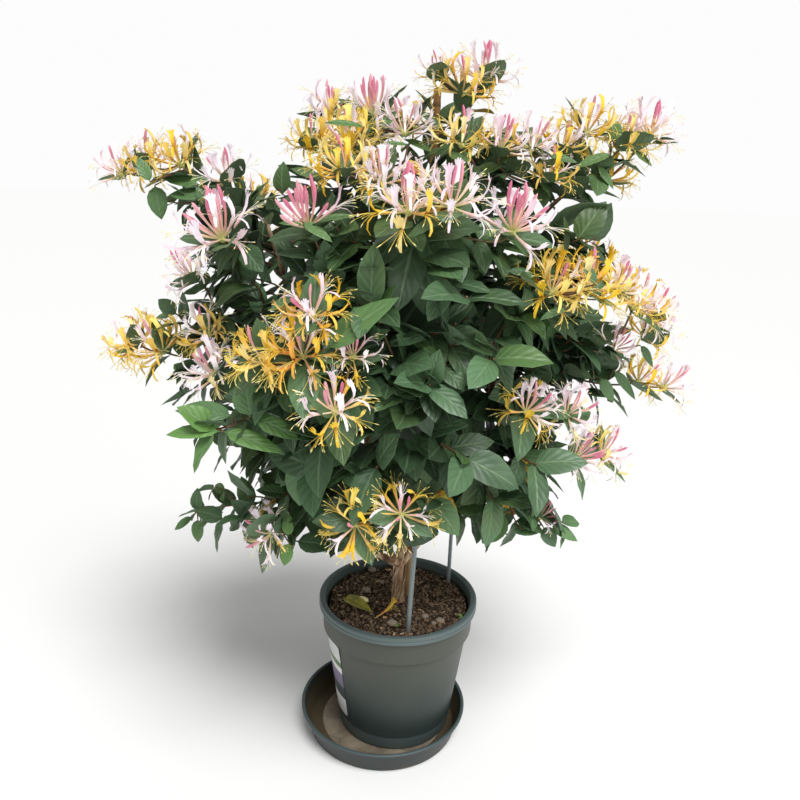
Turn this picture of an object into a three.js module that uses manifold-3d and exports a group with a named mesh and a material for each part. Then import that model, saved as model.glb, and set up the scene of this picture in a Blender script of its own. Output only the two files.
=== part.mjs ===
// Honeysuckle vine in a plastic pot on its saucer. Millimetres, +Z up, -Y is the front.
// The origin is on the pot's axis, on the surface that the saucer stands on.
import * as THREE from 'three';
import { mergeVertices } from 'three/addons/utils/BufferGeometryUtils.js';
import Module from 'manifold-3d';

const wasm = await Module();
wasm.setup();

// ---- Driving dimensions ----
const gap = 0.3; // between pieces that touch
const roundSides = 24; // around the pot and the saucer
const pot = { rim: 135, base: 96.4, bottom: 4.4, top: 247, wall: 2.6, lip: 14, step: 57, floor: 3 };
const potDrain = { count: 5, circle: 62, radius: 7 };
const saucer = { x: -20.3, y: -12.2, rim: 144, foot: 129, top: 44, wall: 2.4, floor: 4 };
const soil = { top: 230, rings: 4, lump: 4.5 };
const label = { left: 184, right: 219, low: 42, high: 186, thick: 0.8 };
const cane = { foot: [13, 24, 90], top: [30, 0, 1057], radius: 5.6 };
const stakeFront = { foot: [14, -102, 130], top: [36, -58, 706], radius: 4 };
const stakeBack = { foot: [89, 59, 170], top: [92, 62, 640], radius: 3.4 };
const trunk = { foot: 150, fork: 300, strand: 6.6, twist: 3.6, turns: 0.9, hole: 11.8 };
const limb = { base: 7, end: 3.4 };
const stem = { base: 2.1, tip: 1.5, joint: 1.7, pairEvery: 50, bareFor: 0.33 };
const leafSize = { length: 76, width: 38, mid: 0.75 };
const head = { core: 5.2, flower: 45, bud: 36, throat: 2.5, lip: 4.6 };

const up = new THREE.Vector3(0, 0, 1);
const vec = (x, y, z) => new THREE.Vector3(x, y, z);
const at = ([x, y, z]) => vec(x, y, z);

// Repeatable draws: every branch and every head has its own seed.
function draws(seed) {
  let state = seed * 2654435761 >>> 0;
  return (low = 0, high = 1) => {
    state = (state + 0x6d2b79f5) >>> 0;
    let t = Math.imul(state ^ (state >>> 15), 1 | state);
    t = (t + Math.imul(t ^ (t >>> 7), 61 | t)) ^ t;
    return low + (high - low) * (((t ^ (t >>> 14)) >>> 0) / 4294967296);
  };
}

// ---- Solids ----
function bareGeometry(geometry) {
  geometry.deleteAttribute('normal');
  geometry.deleteAttribute('uv');
  return geometry;
}

function solidOf(geometry) {
  const merged = mergeVertices(bareGeometry(geometry), 1e-4);
  const vertProperties = new Float32Array(merged.attributes.position.array);
  const triVerts = new Uint32Array(merged.index.array);
  return new wasm.Manifold(new wasm.Mesh({ numProp: 3, vertProperties, triVerts }));
}

function geometryOf(solid) {
  const mesh = solid.getMesh();
  const geometry = new THREE.BufferGeometry();
  geometry.setAttribute('position', new THREE.BufferAttribute(new Float32Array(mesh.vertProperties), 3));
  geometry.setIndex(new THREE.BufferAttribute(new Uint32Array(mesh.triVerts), 1));
  return geometry;
}

// The largest piece alone, without the scraps that a cut leaves.
function mainBody(solid) {
  const pieces = solid.decompose();
  return pieces.reduce((best, piece) => (piece.volume() > best.volume() ? piece : best));
}

const joined = solids => solids.reduce((sum, next) => sum.add(next));

// A closed skin grown ring by ring. A ring runs anticlockwise, seen from where the growth goes.
class Skin {
  constructor() {
    this.places = [];
    this.faces = [];
  }

  point(place) {
    this.places.push(place);
    return this.places.length - 1;
  }

  ring(places) {
    return places.map(place => this.point(place));
  }

  // Side faces from ring to ring. Sides listed in turned are split along their other diagonal.
  bridge(near, far, turned = [], open = []) {
    near.forEach((a, i) => {
      const b = near[(i + 1) % near.length];
      const c = far[(i + 1) % far.length];
      const d = far[i];
      if (open.includes(i)) return;
      if (turned.includes(i)) this.faces.push([a, b, d], [b, c, d]);
      else this.faces.push([a, b, c], [a, c, d]);
    });
  }

  toTip(ring, tip) {
    ring.forEach((a, i) => this.faces.push([a, ring[(i + 1) % ring.length], tip]));
  }

  capFar(ring) {
    for (let i = 1; i < ring.length - 1; i += 1) this.faces.push([ring[0], ring[i], ring[i + 1]]);
  }

  capNear(ring) {
    this.capFar([...ring].reverse());
  }

  geometry() {
    const geometry = new THREE.BufferGeometry();
    const numbers = this.places.flatMap(place => [place.x, place.y, place.z]);
    geometry.setAttribute('position', new THREE.BufferAttribute(new Float32Array(numbers), 3));
    geometry.setIndex(this.faces.flat());
    return geometry;
  }

  solid() {
    return solidOf(this.geometry());
  }
}

const squareTo = (normal, along) => normal.clone().addScaledVector(along, -normal.dot(along)).normalize();
const anySquare = along => along.clone().cross(Math.abs(along.z) < 0.9 ? up : vec(1, 0, 0)).normalize();

function circleAt(middle, along, normal, radius, sides) {
  const across = along.clone().cross(normal).normalize();
  return Array.from({ length: sides }, (_, k) => middle.clone()
    .addScaledVector(normal, Math.cos(2 * Math.PI * k / sides) * radius)
    .addScaledVector(across, Math.sin(2 * Math.PI * k / sides) * radius));
}

// The start of a ring that turns it least against the ring it grows from.
function leastTurn(skin, root, ring) {
  const middleOf = places => places.reduce((sum, p) => sum.clone().add(p)).divideScalar(places.length);
  const roots = root.map(i => skin.places[i]);
  const rootMiddle = middleOf(roots);
  const ringMiddle = middleOf(ring);
  const turn = shift => roots.reduce((sum, place, i) => {
    const away = ring[(i + shift) % ring.length].clone().sub(ringMiddle).normalize();
    return sum + place.clone().sub(rootMiddle).normalize().distanceTo(away);
  }, 0);
  const shifts = ring.map((_, shift) => shift);
  return shifts.reduce((best, shift) => (turn(shift) < turn(best) ? shift : best));
}

// A tapered rod along a curve, closed at both ends, its rings at even steps of the curve's own parameter.
function rod(curve, steps, sides, radiusAt) {
  const skin = new Skin();
  let before = null;
  let normal = null;
  for (let i = 0; i <= steps; i += 1) {
    const share = i / steps;
    const along = curve.getTangent(share);
    normal = normal ? squareTo(normal, along) : anySquare(along);
    const ring = skin.ring(circleAt(curve.getPoint(share), along, normal, radiusAt(share), sides));
    if (before) skin.bridge(before, ring);
    else skin.capNear(ring);
    before = ring;
  }
  skin.capFar(before);
  return skin.solid();
}

function straightRod({ foot, top, radius }, sides, extra = 0) {
  return rod(new THREE.LineCurve3(at(foot), at(top)), 1, sides, () => radius + extra);
}

// A closed outline of [radius, height] points turned about a vertical axis.
function turned(outline, sides, x = 0, y = 0) {
  const closed = [...outline, outline[0]].map(([radius, height]) => new THREE.Vector2(radius, height));
  const geometry = new THREE.LatheGeometry(closed, sides);
  geometry.rotateX(Math.PI / 2);
  geometry.translate(x, y, 0);
  return solidOf(geometry);
}

// ---- Pot, saucer, soil and label ----
const taper = (pot.rim - 6 - pot.base) / (pot.top - pot.bottom);
const potRadiusAt = height => pot.base + taper * (height - pot.bottom);

function buildPot() {
  const { rim, base, bottom, top, wall, lip, step, floor } = pot;
  const collar = top - step;
  const collarRadius = potRadiusAt(top) - 1;
  const wallIn = potRadiusAt(top) - wall - 2.5;
  const outline = [
    [0, bottom + 2], [base - 14, bottom + 2], [base - 12, bottom], [base - 2, bottom], [base, bottom + 3],
    [potRadiusAt(collar), collar], [collarRadius, collar + 4], [collarRadius + 1, top - lip],
    [rim, top - lip], [rim, top - 2], [rim - 3, top], [wallIn, top - 6],
    [base - wall, bottom + floor + 2], [0, bottom + floor + 2],
  ];
  let body = turned(outline, roundSides);
  for (let i = 0; i < potDrain.count; i += 1) {
    const angle = 2 * Math.PI * i / potDrain.count;
    const hole = new THREE.CylinderGeometry(potDrain.radius, potDrain.radius, 30, 8);
    hole.rotateX(Math.PI / 2);
    hole.translate(potDrain.circle * Math.cos(angle), potDrain.circle * Math.sin(angle), bottom);
    body = body.subtract(solidOf(hole));
  }
  return body;
}

function buildSaucer() {
  const { x, y, rim, foot, top, wall, floor } = saucer;
  const outline = [
    [0, 0], [foot - 3, 0], [foot, 2], [rim - 4, top - 7], [rim, top - 5], [rim, top - 1], [rim - 2, top],
    [rim - 6, top - 2], [foot - wall + 1, floor + 3], [foot - wall - 4, floor], [0, floor],
  ];
  return turned(outline, roundSides, x, y);
}

// Lumps of the soil's top, a smooth wave of three directions.
function soilHeight(x, y) {
  const wave = Math.sin(x * 0.075 + 1) + Math.sin(y * 0.09 - x * 0.04) + Math.sin((x + y) * 0.13 + 2);
  return soil.top + soil.lump * wave / 3;
}

function buildSoil(holes) {
  const skin = new Skin();
  const lowest = pot.bottom + pot.floor + 2 + gap;
  const inside = height => {
    const share = (height - pot.bottom - pot.floor - 2) / (pot.top - 6 - pot.bottom - pot.floor - 2);
    const low = pot.base - pot.wall;
    const high = potRadiusAt(pot.top) - pot.wall - 2.5;
    return low + (high - low) * share - gap - 0.2;
  };
  const circle = (radius, heightAt) => skin.ring(Array.from({ length: roundSides }, (_, i) => {
    const angle = 2 * Math.PI * i / roundSides;
    const x = radius * Math.cos(angle);
    const y = radius * Math.sin(angle);
    return vec(x, y, heightAt(x, y));
  }));
  const bottom = circle(inside(lowest), () => lowest);
  skin.capNear(bottom);
  let before = bottom;
  for (let k = 0; k < soil.rings; k += 1) {
    const radius = inside(soil.top - 6) * (1 - k / soil.rings);
    const ring = circle(radius, k ? soilHeight : () => soil.top - 6);
    skin.bridge(before, ring);
    before = ring;
  }
  skin.toTip(before, skin.point(vec(0, 0, soilHeight(0, 0))));
  return holes.reduce((bed, hole) => bed.subtract(hole), skin.solid());
}

// A band of the wall's own slope, a little off it.
function buildLabel() {
  const skin = new Skin();
  const degrees = Math.PI / 180;
  const steps = 6;
  let before = null;
  for (let i = 0; i <= steps; i += 1) {
    const angle = (label.left + (label.right - label.left) * i / steps) * degrees;
    const place = (height, out) => {
      const radius = potRadiusAt(height) + gap + out;
      return vec(radius * Math.cos(angle), radius * Math.sin(angle), height);
    };
    const { low, high, thick } = label;
    const ring = skin.ring([place(low, 0), place(high, 0), place(high, thick), place(low, thick)]);
    if (before) skin.bridge(before, ring);
    else skin.capNear(ring);
    before = ring;
  }
  skin.capFar(before);
  return skin.solid();
}

// A stone with uneven sides, lying on its flat.
function buildPebble(size, seed) {
  const draw = draws(seed);
  const merged = mergeVertices(bareGeometry(new THREE.IcosahedronGeometry(size, 1)), 1e-3);
  const places = merged.attributes.position;
  for (let i = 0; i < places.count; i += 1) {
    const share = draw(0.86, 1.08);
    places.setXYZ(i, places.getX(i) * share, places.getY(i) * share * 0.8, places.getZ(i) * share * 0.6);
  }
  return solidOf(merged);
}

// Let down onto the bed, from well above it, until it lies a gap off.
function settled(solid, bed, x, y) {
  const placed = height => solid.translate([x, y, height]);
  let free = soil.top + 40;
  let blocked = soil.top - 40;
  while (free - blocked > 0.02) {
    const height = (free + blocked) / 2;
    if (placed(height).intersect(bed).isEmpty()) free = height;
    else blocked = height;
  }
  return placed(free + gap);
}

// ---- Trunk and its limbs ----
// Each limb is a smooth curve through its knots. Branches start at the knots.
const limbs = {
  left: [[0, 0, 300], [-50, -8, 338], [-105, -28, 420], [-150, -40, 530], [-172, -35, 650],
    [-185, -15, 765], [-215, 0, 860]],
  right: [[0, 0, 300], [30, 6, 340], [72, 10, 430], [115, 0, 540], [140, -12, 650], [160, -10, 770],
    [190, 0, 880]],
  front: [[0, 0, 300], [-14, -42, 345], [-38, -92, 430], [-52, -125, 540], [-50, -145, 660],
    [-35, -150, 770], [-20, -140, 860]],
  back: [[0, 0, 300], [4, 48, 350], [14, 105, 430], [10, 140, 540], [0, 150, 660], [-5, 140, 780],
    [0, 115, 880]],
  middle: windingKnots(),
};

// The middle limb climbs the cane in a slow helix.
function windingKnots() {
  const knots = [[0, 0, 300]];
  const turnPerMetre = 2.6;
  for (let height = 360; height <= 980; height += 62) {
    const share = (height - cane.foot[2]) / (cane.top[2] - cane.foot[2]);
    const angle = 2 * Math.PI * (0.66 + turnPerMetre * (height - 360) / 1000);
    const x = cane.foot[0] + (cane.top[0] - cane.foot[0]) * share + 15 * Math.cos(angle);
    const y = cane.foot[1] + (cane.top[1] - cane.foot[1]) * share + 15 * Math.sin(angle);
    knots.push([x, y, height]);
  }
  return knots;
}

const limbCurve = knots => new THREE.CatmullRomCurve3(knots.map(at), false, 'catmullrom', 0.5);

function buildTrunk(extra = 0) {
  const pieces = [0, Math.PI].map(side => {
    const strand = [];
    for (let i = 0; i <= 6; i += 1) {
      const height = trunk.foot + (trunk.fork + 6 - trunk.foot) * i / 6;
      const angle = side + 2 * Math.PI * trunk.turns * i / 6;
      strand.push(vec(trunk.twist * Math.cos(angle), trunk.twist * Math.sin(angle), height));
    }
    return rod(new THREE.CatmullRomCurve3(strand), 6, 5, () => trunk.strand + extra);
  });
  for (const knots of Object.values(limbs)) {
    const thick = share => limb.base + (limb.end - limb.base) * share ** 0.6 + extra;
    const steps = (knots.length - 1) * (knots.length > 8 ? 1 : 2);
    pieces.push(rod(limbCurve(knots), steps, 4, thick));
  }
  return joined(pieces);
}

// ---- Shoots ----
// A shoot arches from its start to its end, where it points the way its head or last leaves face.
const plantMiddle = vec(0, 0, 660);

function facing(end) {
  const out = end.clone().sub(plantMiddle).multiply(vec(1, 1, 0.8)).normalize();
  return out.addScaledVector(up, 0.35).normalize();
}

// The way a head of flowers looks: like its shoot, but more to the sky.
const blooming = place => facing(place).addScaledVector(up, 0.6).normalize();

function shootCurve(start, end) {
  const length = start.distanceTo(end);
  const towards = end.clone().sub(start).normalize();
  const first = start.clone().addScaledVector(towards, length * 0.33).addScaledVector(up, length * 0.1);
  const last = end.clone().addScaledVector(facing(end), -length * 0.3);
  return new THREE.CubicBezierCurve3(start, first, last, end);
}

// Rings of a leaf in the order right, top, left, bottom, seen from its tip, then the tip.
// extra makes it thicker and broader, for testing what stands near it.
function leafShape(leaf, extra = 0) {
  const { base, forward, normal, length, width, droop, fold, wave } = leaf;
  const side = normal.clone().cross(forward).normalize();
  const middle = s => base.clone()
    .addScaledVector(forward, length * s)
    .addScaledVector(normal, -length * droop * s * s);
  const ringAt = (s, share, twist) => {
    const half = width / 2 * share + extra;
    const thick = leafSize.mid + extra;
    const centre = middle(s);
    const edge = (sign, lift) => centre.clone()
      .addScaledVector(side, sign * half)
      .addScaledVector(normal, half * (fold + lift));
    return [edge(1, twist), centre.clone().addScaledVector(normal, thick),
      edge(-1, -twist), centre.clone().addScaledVector(normal, -thick)];
  };
  return {
    foot: ringAt(0.07, 0.12, 0),
    rings: [ringAt(0.36, 1, wave), ringAt(0.7, 0.74, -wave)],
    tip: middle(1).addScaledVector(forward, extra),
  };
}

const alikeSides = [1, 3]; // so that a blade's two faces are split alike

function growLeaf(skin, root, leaf) {
  const { rings, tip } = leafShape(leaf);
  const shift = leastTurn(skin, root, rings[0]);
  const first = skin.ring(rings[0]);
  const met = root.map((_, i) => first[(i + shift) % 4]);
  skin.bridge(root, met);
  const second = skin.ring(rings[1]);
  skin.bridge(first, second, alikeSides);
  skin.toTip(second, skin.point(tip));
}

function leafSolid(leaf, extra) {
  const skin = new Skin();
  const { foot, rings, tip } = leafShape(leaf, extra);
  const [low, first, second] = [foot, ...rings].map(ring => skin.ring(ring));
  skin.capNear(low);
  skin.bridge(low, first, alikeSides);
  skin.bridge(first, second, alikeSides);
  skin.toTip(second, skin.point(tip));
  return skin.solid();
}

// The pairs of a shoot: where each stands, and its two leaves at right angles to the pair below.
function planShoot(shoot, draw) {
  const { curve, size } = shoot;
  const length = curve.getLength();
  const pairs = Math.max(1, Math.round(length * (1 - stem.bareFor) / stem.pairEvery));
  const last = 1 - 8 / length;
  const stops = [];
  let normal = null;
  const roll = draw(0, Math.PI);
  for (let k = 0; k < pairs; k += 1) {
    const share = pairs === 1 ? last : stem.bareFor + (last - stem.bareFor) * k / (pairs - 1);
    const middle = curve.getPoint(share);
    const along = curve.getTangent(share);
    normal = normal ? squareTo(normal, along) : anySquare(along).applyAxisAngle(along, roll);
    const grown = size * (1 - 0.42 * (k / pairs) ** 2) * draw(0.85, 1.12);
    stops.push({ share, middle, along, normal, grown, order: k });
  }
  for (const stop of stops) {
    stop.leaves = [0, 2].map(side => planLeaf(stop, (side + stop.order) % 4, draw));
  }
  return stops;
}

function planLeaf({ middle, along, normal, grown }, side, draw) {
  const out = normal.clone().applyAxisAngle(along, (side + 0.5) * Math.PI / 2);
  const away = vec(middle.x, middle.y, (middle.z - plantMiddle.z) * 0.5).normalize();
  const forward = out.clone().multiplyScalar(0.85)
    .addScaledVector(along, 0.45)
    .addScaledVector(away, 0.35)
    .add(vec(draw(-0.2, 0.2), draw(-0.2, 0.2), draw(-0.35, 0.1)))
    .normalize();
  const light = up.clone().multiplyScalar(0.8).addScaledVector(away, 0.75)
    .add(vec(draw(-0.3, 0.3), draw(-0.3, 0.3), draw(-0.1, 0.3)));
  const face = light.addScaledVector(forward, -light.dot(forward)).normalize();
  return {
    side,
    base: middle.clone(),
    forward,
    normal: face,
    length: leafSize.length * grown * draw(0.92, 1.1),
    width: leafSize.width * grown * draw(0.9, 1.12),
    droop: draw(0.08, 0.3),
    fold: draw(0.1, 0.34),
    wave: draw(-0.12, 0.12),
  };
}

// A leaf bent up or down at its foot.
function bent(leaf, angle) {
  const side = leaf.normal.clone().cross(leaf.forward).normalize();
  return {
    ...leaf,
    forward: leaf.forward.clone().applyAxisAngle(side, angle),
    normal: leaf.normal.clone().applyAxisAngle(side, angle),
  };
}

// The four-sided stem of a shoot with its leaves grown out of its joints.
function shootSolid(shoot, thicker = 0) {
  const { curve, stops, length } = shoot;
  const skin = new Skin();
  const radius = share => stem.base + (stem.tip - stem.base) * share + thicker;
  const ringAt = (middle, along, normal, share) => {
    return skin.ring(circleAt(middle, along, normal, radius(share), 4));
  };
  const start = curve.getPoint(0);
  let before = ringAt(start, curve.getTangent(0), squareTo(stops[0].normal, curve.getTangent(0)), 0);
  skin.capNear(before);
  for (const stop of stops) {
    const { middle, along, normal, share } = stop;
    const low = ringAt(middle.clone().addScaledVector(along, -stem.joint), along, normal, share);
    const high = ringAt(middle.clone().addScaledVector(along, stem.joint), along, normal, share);
    skin.bridge(before, low);
    const kept = thicker ? [] : stop.leaves.filter(leaf => leaf.stands);
    skin.bridge(low, high, [], kept.map(leaf => leaf.side));
    for (const leaf of kept) {
      const i = leaf.side;
      const j = (i + 1) % 4;
      growLeaf(skin, [low[i], low[j], high[j], high[i]], leaf);
    }
    before = high;
  }
  const lastStop = stops[stops.length - 1];
  const along = curve.getTangent(1);
  const end = ringAt(curve.getPoint(1), along, squareTo(lastStop.normal, along), 1);
  skin.bridge(before, end);
  if (shoot.bare && !thicker) skin.toTip(end, skin.point(curve.getPoint(1).addScaledVector(along, 6)));
  else skin.capFar(end);
  return skin.solid();
}

// ---- Branches: one main shoot from a limb's knot, with side shoots off it ----
// Each shoot: [place along the main shoot, or -1 for the main one, end x, y, z, leaf size, bloom or ''].
const branches = {
  upper_left: {
    limb: 'left', knot: 6, shoots: [
      [-1, -338, 5, 937, 1, 'far_left'],
      [0.4, -256, -56, 916, 0.9, 'left_white'],
      [0.15, -238, -170, 848, 1.1, 'left_rose'],
      [0.5, -330, 75, 880, 1, ''],
    ],
  },
  left: {
    limb: 'left', knot: 4, shoots: [
      [-1, -358, -60, 672, 1, 'left_gold'],
      [0.55, -304, -78, 786, 0.9, 'left_small'],
      [0.4, -258, -142, 662, 1, 'left_mixed'],
      [0.25, -200, 60, 700, 1.1, ''],
      [0.3, -215, -125, 792, 1.1, ''],
    ],
  },
  front_left: {
    limb: 'front', knot: 4, shoots: [
      [-1, -172, -240, 708, 1.1, 'front_gold'],
      [0.5, -122, -270, 724, 1.1, 'front_orange'],
      [0.2, -82, -288, 662, 1, 'front_white'],
      [0.35, -252, -225, 612, 1, ''],
      [0.3, -122, -220, 870, 1, 'front_rose'],
    ],
  },
  low_left: {
    limb: 'left', knot: 2, shoots: [
      [-1, -186, -143, 427, 1.1, 'low_left'],
      [0.3, -328, -60, 415, 0.7, ''],
      [0.15, -215, -50, 520, 1, ''],
    ],
  },
  low_front: {
    limb: 'front', knot: 2, shoots: [
      [-1, -60, -210, 480, 1, 'low_front'],
      [0.37, -125, -185, 545, 1.1, ''],
      [0.34, 42, -195, 510, 1.1, ''],
      [0.4, -35, -205, 560, 1.1, ''],
    ],
  },
  front_middle: {
    limb: 'front', knot: 3, shoots: [
      [-1, 30, -250, 690, 1.1, ''],
      [0.3, -110, -235, 600, 1.1, ''],
      [0.35, 85, -215, 580, 1.1, ''],
      [0.6, -45, -255, 790, 1.05, ''],
    ],
  },
  top_left: {
    limb: 'middle', knot: 9, shoots: [
      [-1, -85, -94, 966, 1, 'top_left'],
      [0.5, -58, -18, 1013, 1, 'top_middle'],
      [0.3, -38, -180, 924, 1, 'top_front'],
      [0.6, -150, 40, 930, 1.1, ''],
    ],
  },
  top: {
    limb: 'middle', knot: 11, shoots: [
      [-1, 94, 4, 1064, 1, 'top'],
      [0.4, 62, -82, 974, 0.9, 'top_low'],
      [0.32, -4, 62, 1020, 1, ''],
    ],
  },
  front_top: {
    limb: 'front', knot: 6, shoots: [
      [-1, -5, -238, 892, 1, 'front_top'],
      [0.35, 122, -200, 872, 1, 'right_rose'],
      [0.5, 70, -245, 800, 1.2, ''],
      [0.25, -95, -205, 800, 1.1, ''],
    ],
  },
  top_right: {
    limb: 'right', knot: 6, shoots: [
      [-1, 297, 0, 985, 1, 'far_right_top'],
      [0.3, 206, -15, 975, 0.9, 'right_top_middle'],
      [0.2, 116, -72, 970, 1, 'right_top_near'],
      [0.5, 250, 70, 930, 1, ''],
    ],
  },
  right_middle: {
    limb: 'right', knot: 5, shoots: [
      [-1, 180, -178, 796, 1.1, 'right_gold'],
      [0.35, 298, -60, 700, 1, 'right_mixed'],
      [0.4, 110, -225, 720, 1.2, ''],
      [0.32, 250, 30, 800, 1.1, ''],
    ],
  },
  right_low: {
    limb: 'right', knot: 4, shoots: [
      [-1, 366, 18, 632, 1, 'far_right'],
      [0.3, 165, -142, 626, 1.1, 'right_front'],
      [0.6, 300, 70, 690, 1, ''],
      [0.42, 245, -55, 715, 1.1, ''],
    ],
  },
  low_right: {
    limb: 'right', knot: 3, shoots: [
      [-1, 260, -54, 528, 1, 'right_bottom'],
      [0.35, 215, -60, 430, 0.9, 'low_right'],
      [0.2, 135, -150, 492, 1.1, ''],
      [0.3, 185, -175, 560, 1.1, ''],
    ],
  },
  back_left: {
    limb: 'back', knot: 5, shoots: [
      [-1, -255, 120, 880, 1, 'back_left_top'],
      [0.5, -150, 205, 800, 1.1, 'back_left'],
      [0.32, -62, 92, 985, 1, 'back_top'],
      [0.3, 0, 235, 850, 1, 'back_middle'],
      [0.35, -170, 200, 640, 1.1, 'back_left_low'],
      [0.6, -290, 120, 770, 1.1, ''],
    ],
  },
  back_right: {
    limb: 'back', knot: 2, shoots: [
      [-1, 240, 150, 790, 1, 'back_right'],
      [0.5, 110, 225, 700, 1.1, 'back_right_low'],
      [0.3, 20, 215, 500, 1.2, ''],
      [0.35, 190, 150, 560, 1.1, ''],
      [0.7, 130, 165, 890, 1.1, ''],
    ],
  },
};

// Heads of each bloom from its shoot outwards: [x, y, z, size], and the colour that it shows most.
const blooms = {
  far_left: { colour: 'gold', heads: [[-345, 5, 945, 1], [-395, 20, 935, 1], [-435, 20, 925, 0.85]] },
  left_white: { colour: 'blush', heads: [[-260, -60, 925, 0.9]] },
  left_rose: { colour: 'blush', heads: [[-240, -178, 857, 1.25]] },
  left_gold: { colour: 'gold', heads: [[-365, -60, 680, 1.1], [-405, -45, 680, 1]] },
  left_small: { colour: 'blush', heads: [[-310, -80, 796, 0.85]] },
  left_mixed: { colour: 'blush', heads: [[-265, -150, 670, 1], [-280, -112, 712, 0.9]] },
  front_gold: { colour: 'gold', heads: [[-180, -250, 716, 1]] },
  front_orange: { colour: 'orange', heads: [[-128, -280, 732, 1.1], [-110, -290, 778, 0.9]] },
  front_white: { colour: 'blush', heads: [[-85, -300, 669, 1], [-65, -262, 725, 0.75]] },
  front_rose: { colour: 'rose', heads: [[-125, -230, 880, 1.1]] },
  low_left: { colour: 'blush', heads: [[-190, -150, 435, 0.9]] },
  low_front: { colour: 'gold', heads: [[-63, -220, 488, 1], [0, -230, 504, 1]] },
  top_left: { colour: 'gold', heads: [[-90, -102, 974, 1.1], [-135, -80, 970, 0.9]] },
  top_middle: {
    colour: 'blush',
    heads: [[-62, -20, 1022, 1], [-15, -60, 992, 0.9], [-120, -12, 1016, 0.9]],
  },
  top_front: { colour: 'blush', heads: [[-40, -190, 932, 0.9], [-85, -180, 938, 0.9]] },
  top: { colour: 'gold', heads: [[98, 4, 1072, 1], [64, -16, 1050, 1.05], [26, -16, 1070, 0.6]] },
  top_low: { colour: 'gold', heads: [[65, -92, 983, 0.9]] },
  front_top: { colour: 'gold', heads: [[0, -250, 901, 1.1], [46, -244, 904, 1]] },
  right_rose: { colour: 'rose', heads: [[130, -210, 881, 1.1]] },
  right_top_near: {
    colour: 'blush',
    heads: [[122, -80, 979, 0.9], [160, -62, 977, 0.9], [182, -80, 940, 0.8]],
  },
  right_top_middle: { colour: 'gold', heads: [[212, -20, 985, 0.9], [245, -10, 1004, 0.95]] },
  far_right_top: { colour: 'blush', heads: [[305, 0, 995, 1], [338, 10, 1003, 1], [297, 60, 940, 0.9]] },
  right_gold: {
    colour: 'gold',
    heads: [[185, -190, 806, 1.1], [228, -170, 802, 1.1], [280, -120, 795, 0.9]],
  },
  right_mixed: {
    colour: 'gold',
    heads: [[305, -62, 710, 0.7], [320, -80, 768, 1], [350, -50, 752, 1], [360, -20, 714, 0.9]],
  },
  far_right: { colour: 'blush', heads: [[375, 20, 640, 0.9], [420, 40, 620, 0.95]] },
  right_front: { colour: 'gold', heads: [[172, -150, 636, 1], [232, -122, 618, 0.95]] },
  right_bottom: { colour: 'blush', heads: [[262, -60, 535, 0.95], [310, -42, 530, 0.9]] },
  low_right: { colour: 'blush', heads: [[224, -62, 438, 0.6]] },
  back_left_top: { colour: 'gold', heads: [[-263, 122, 888, 1], [-310, 112, 870, 0.9]] },
  back_left: { colour: 'blush', heads: [[-155, 214, 808, 1.1], [-200, 190, 820, 0.9]] },
  back_top: { colour: 'gold', heads: [[-64, 96, 994, 1.1], [0, 110, 1010, 0.9]] },
  back_middle: { colour: 'rose', heads: [[0, 244, 858, 1], [62, 225, 872, 0.9]] },
  back_right: { colour: 'gold', heads: [[248, 155, 798, 1], [292, 130, 815, 0.9]] },
  back_right_low: { colour: 'blush', heads: [[114, 234, 707, 1], [165, 215, 690, 0.9]] },
  back_left_low: { colour: 'gold', heads: [[-178, 208, 647, 1], [-228, 180, 630, 0.9]] },
};

// ---- Flower heads ----
// A core of twenty small faces. Its middle faces each grow a two-lipped flower, its top faces a bud.
// A head with a stem end sits on that end.
function planHead([x, y, z, size], seed, stemEnd) {
  const draw = draws(seed);
  const axis = blooming(vec(x, y, z));
  const roll = draw(0, 2 * Math.PI);
  const core = mergeVertices(bareGeometry(new THREE.IcosahedronGeometry(head.core, 0)), 1e-3);
  const places = core.attributes.position;
  const corner = i => new THREE.Vector3().fromBufferAttribute(places, i);
  const stand = new THREE.Quaternion().setFromUnitVectors(corner(0).normalize(), axis);
  const corners = Array.from({ length: places.count }, (_, i) => corner(i)
    .applyQuaternion(stand)
    .applyAxisAngle(axis, roll));
  const middle = stemEnd ? seatOn(stemEnd, corners) : vec(x, y, z);
  corners.forEach(each => each.add(middle));
  const faces = [];
  for (let i = 0; i < core.index.count; i += 3) {
    const ring = [0, 1, 2].map(k => core.index.getX(i + k));
    const centre = ring.reduce((sum, k) => sum.add(corners[k]), vec(0, 0, 0)).divideScalar(3);
    const out = centre.clone().sub(middle).normalize();
    faces.push({ ring, centre, out, height: out.dot(axis) });
  }
  const kinds = { top: [], whorl: [] };
  for (const face of faces) {
    if (face.height > 0.6) kinds.top.push(face);
    else if (face.height > 0) kinds.whorl.push(face);
  }
  const budFaces = kinds.top.slice(0, size > 1 ? 3 : 2);
  const low = faces.filter(face => face.height < 0 && face.height > -0.6);
  const flowerFaces = [...kinds.whorl, ...low.slice(0, size > 1.05 ? 1 : 0)].slice(size < 0.95 ? 1 : 0);
  for (const face of faces) {
    face.grows = flowerFaces.includes(face) ? 'flower' : budFaces.includes(face) ? 'bud' : '';
    face.length = size * draw(0.88, 1.12);
    face.lean = draw(0.05, 0.35);
    face.stands = true;
  }
  return { middle, axis, corners, faces, size };
}

// The middle of a head whose lowest corner lies a gap off the end of its stem.
function seatOn(stemEnd, corners) {
  const way = facing(stemEnd);
  const lowest = Math.min(...corners.map(each => each.dot(way)));
  return stemEnd.clone().addScaledVector(way, gap - lowest);
}

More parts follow.
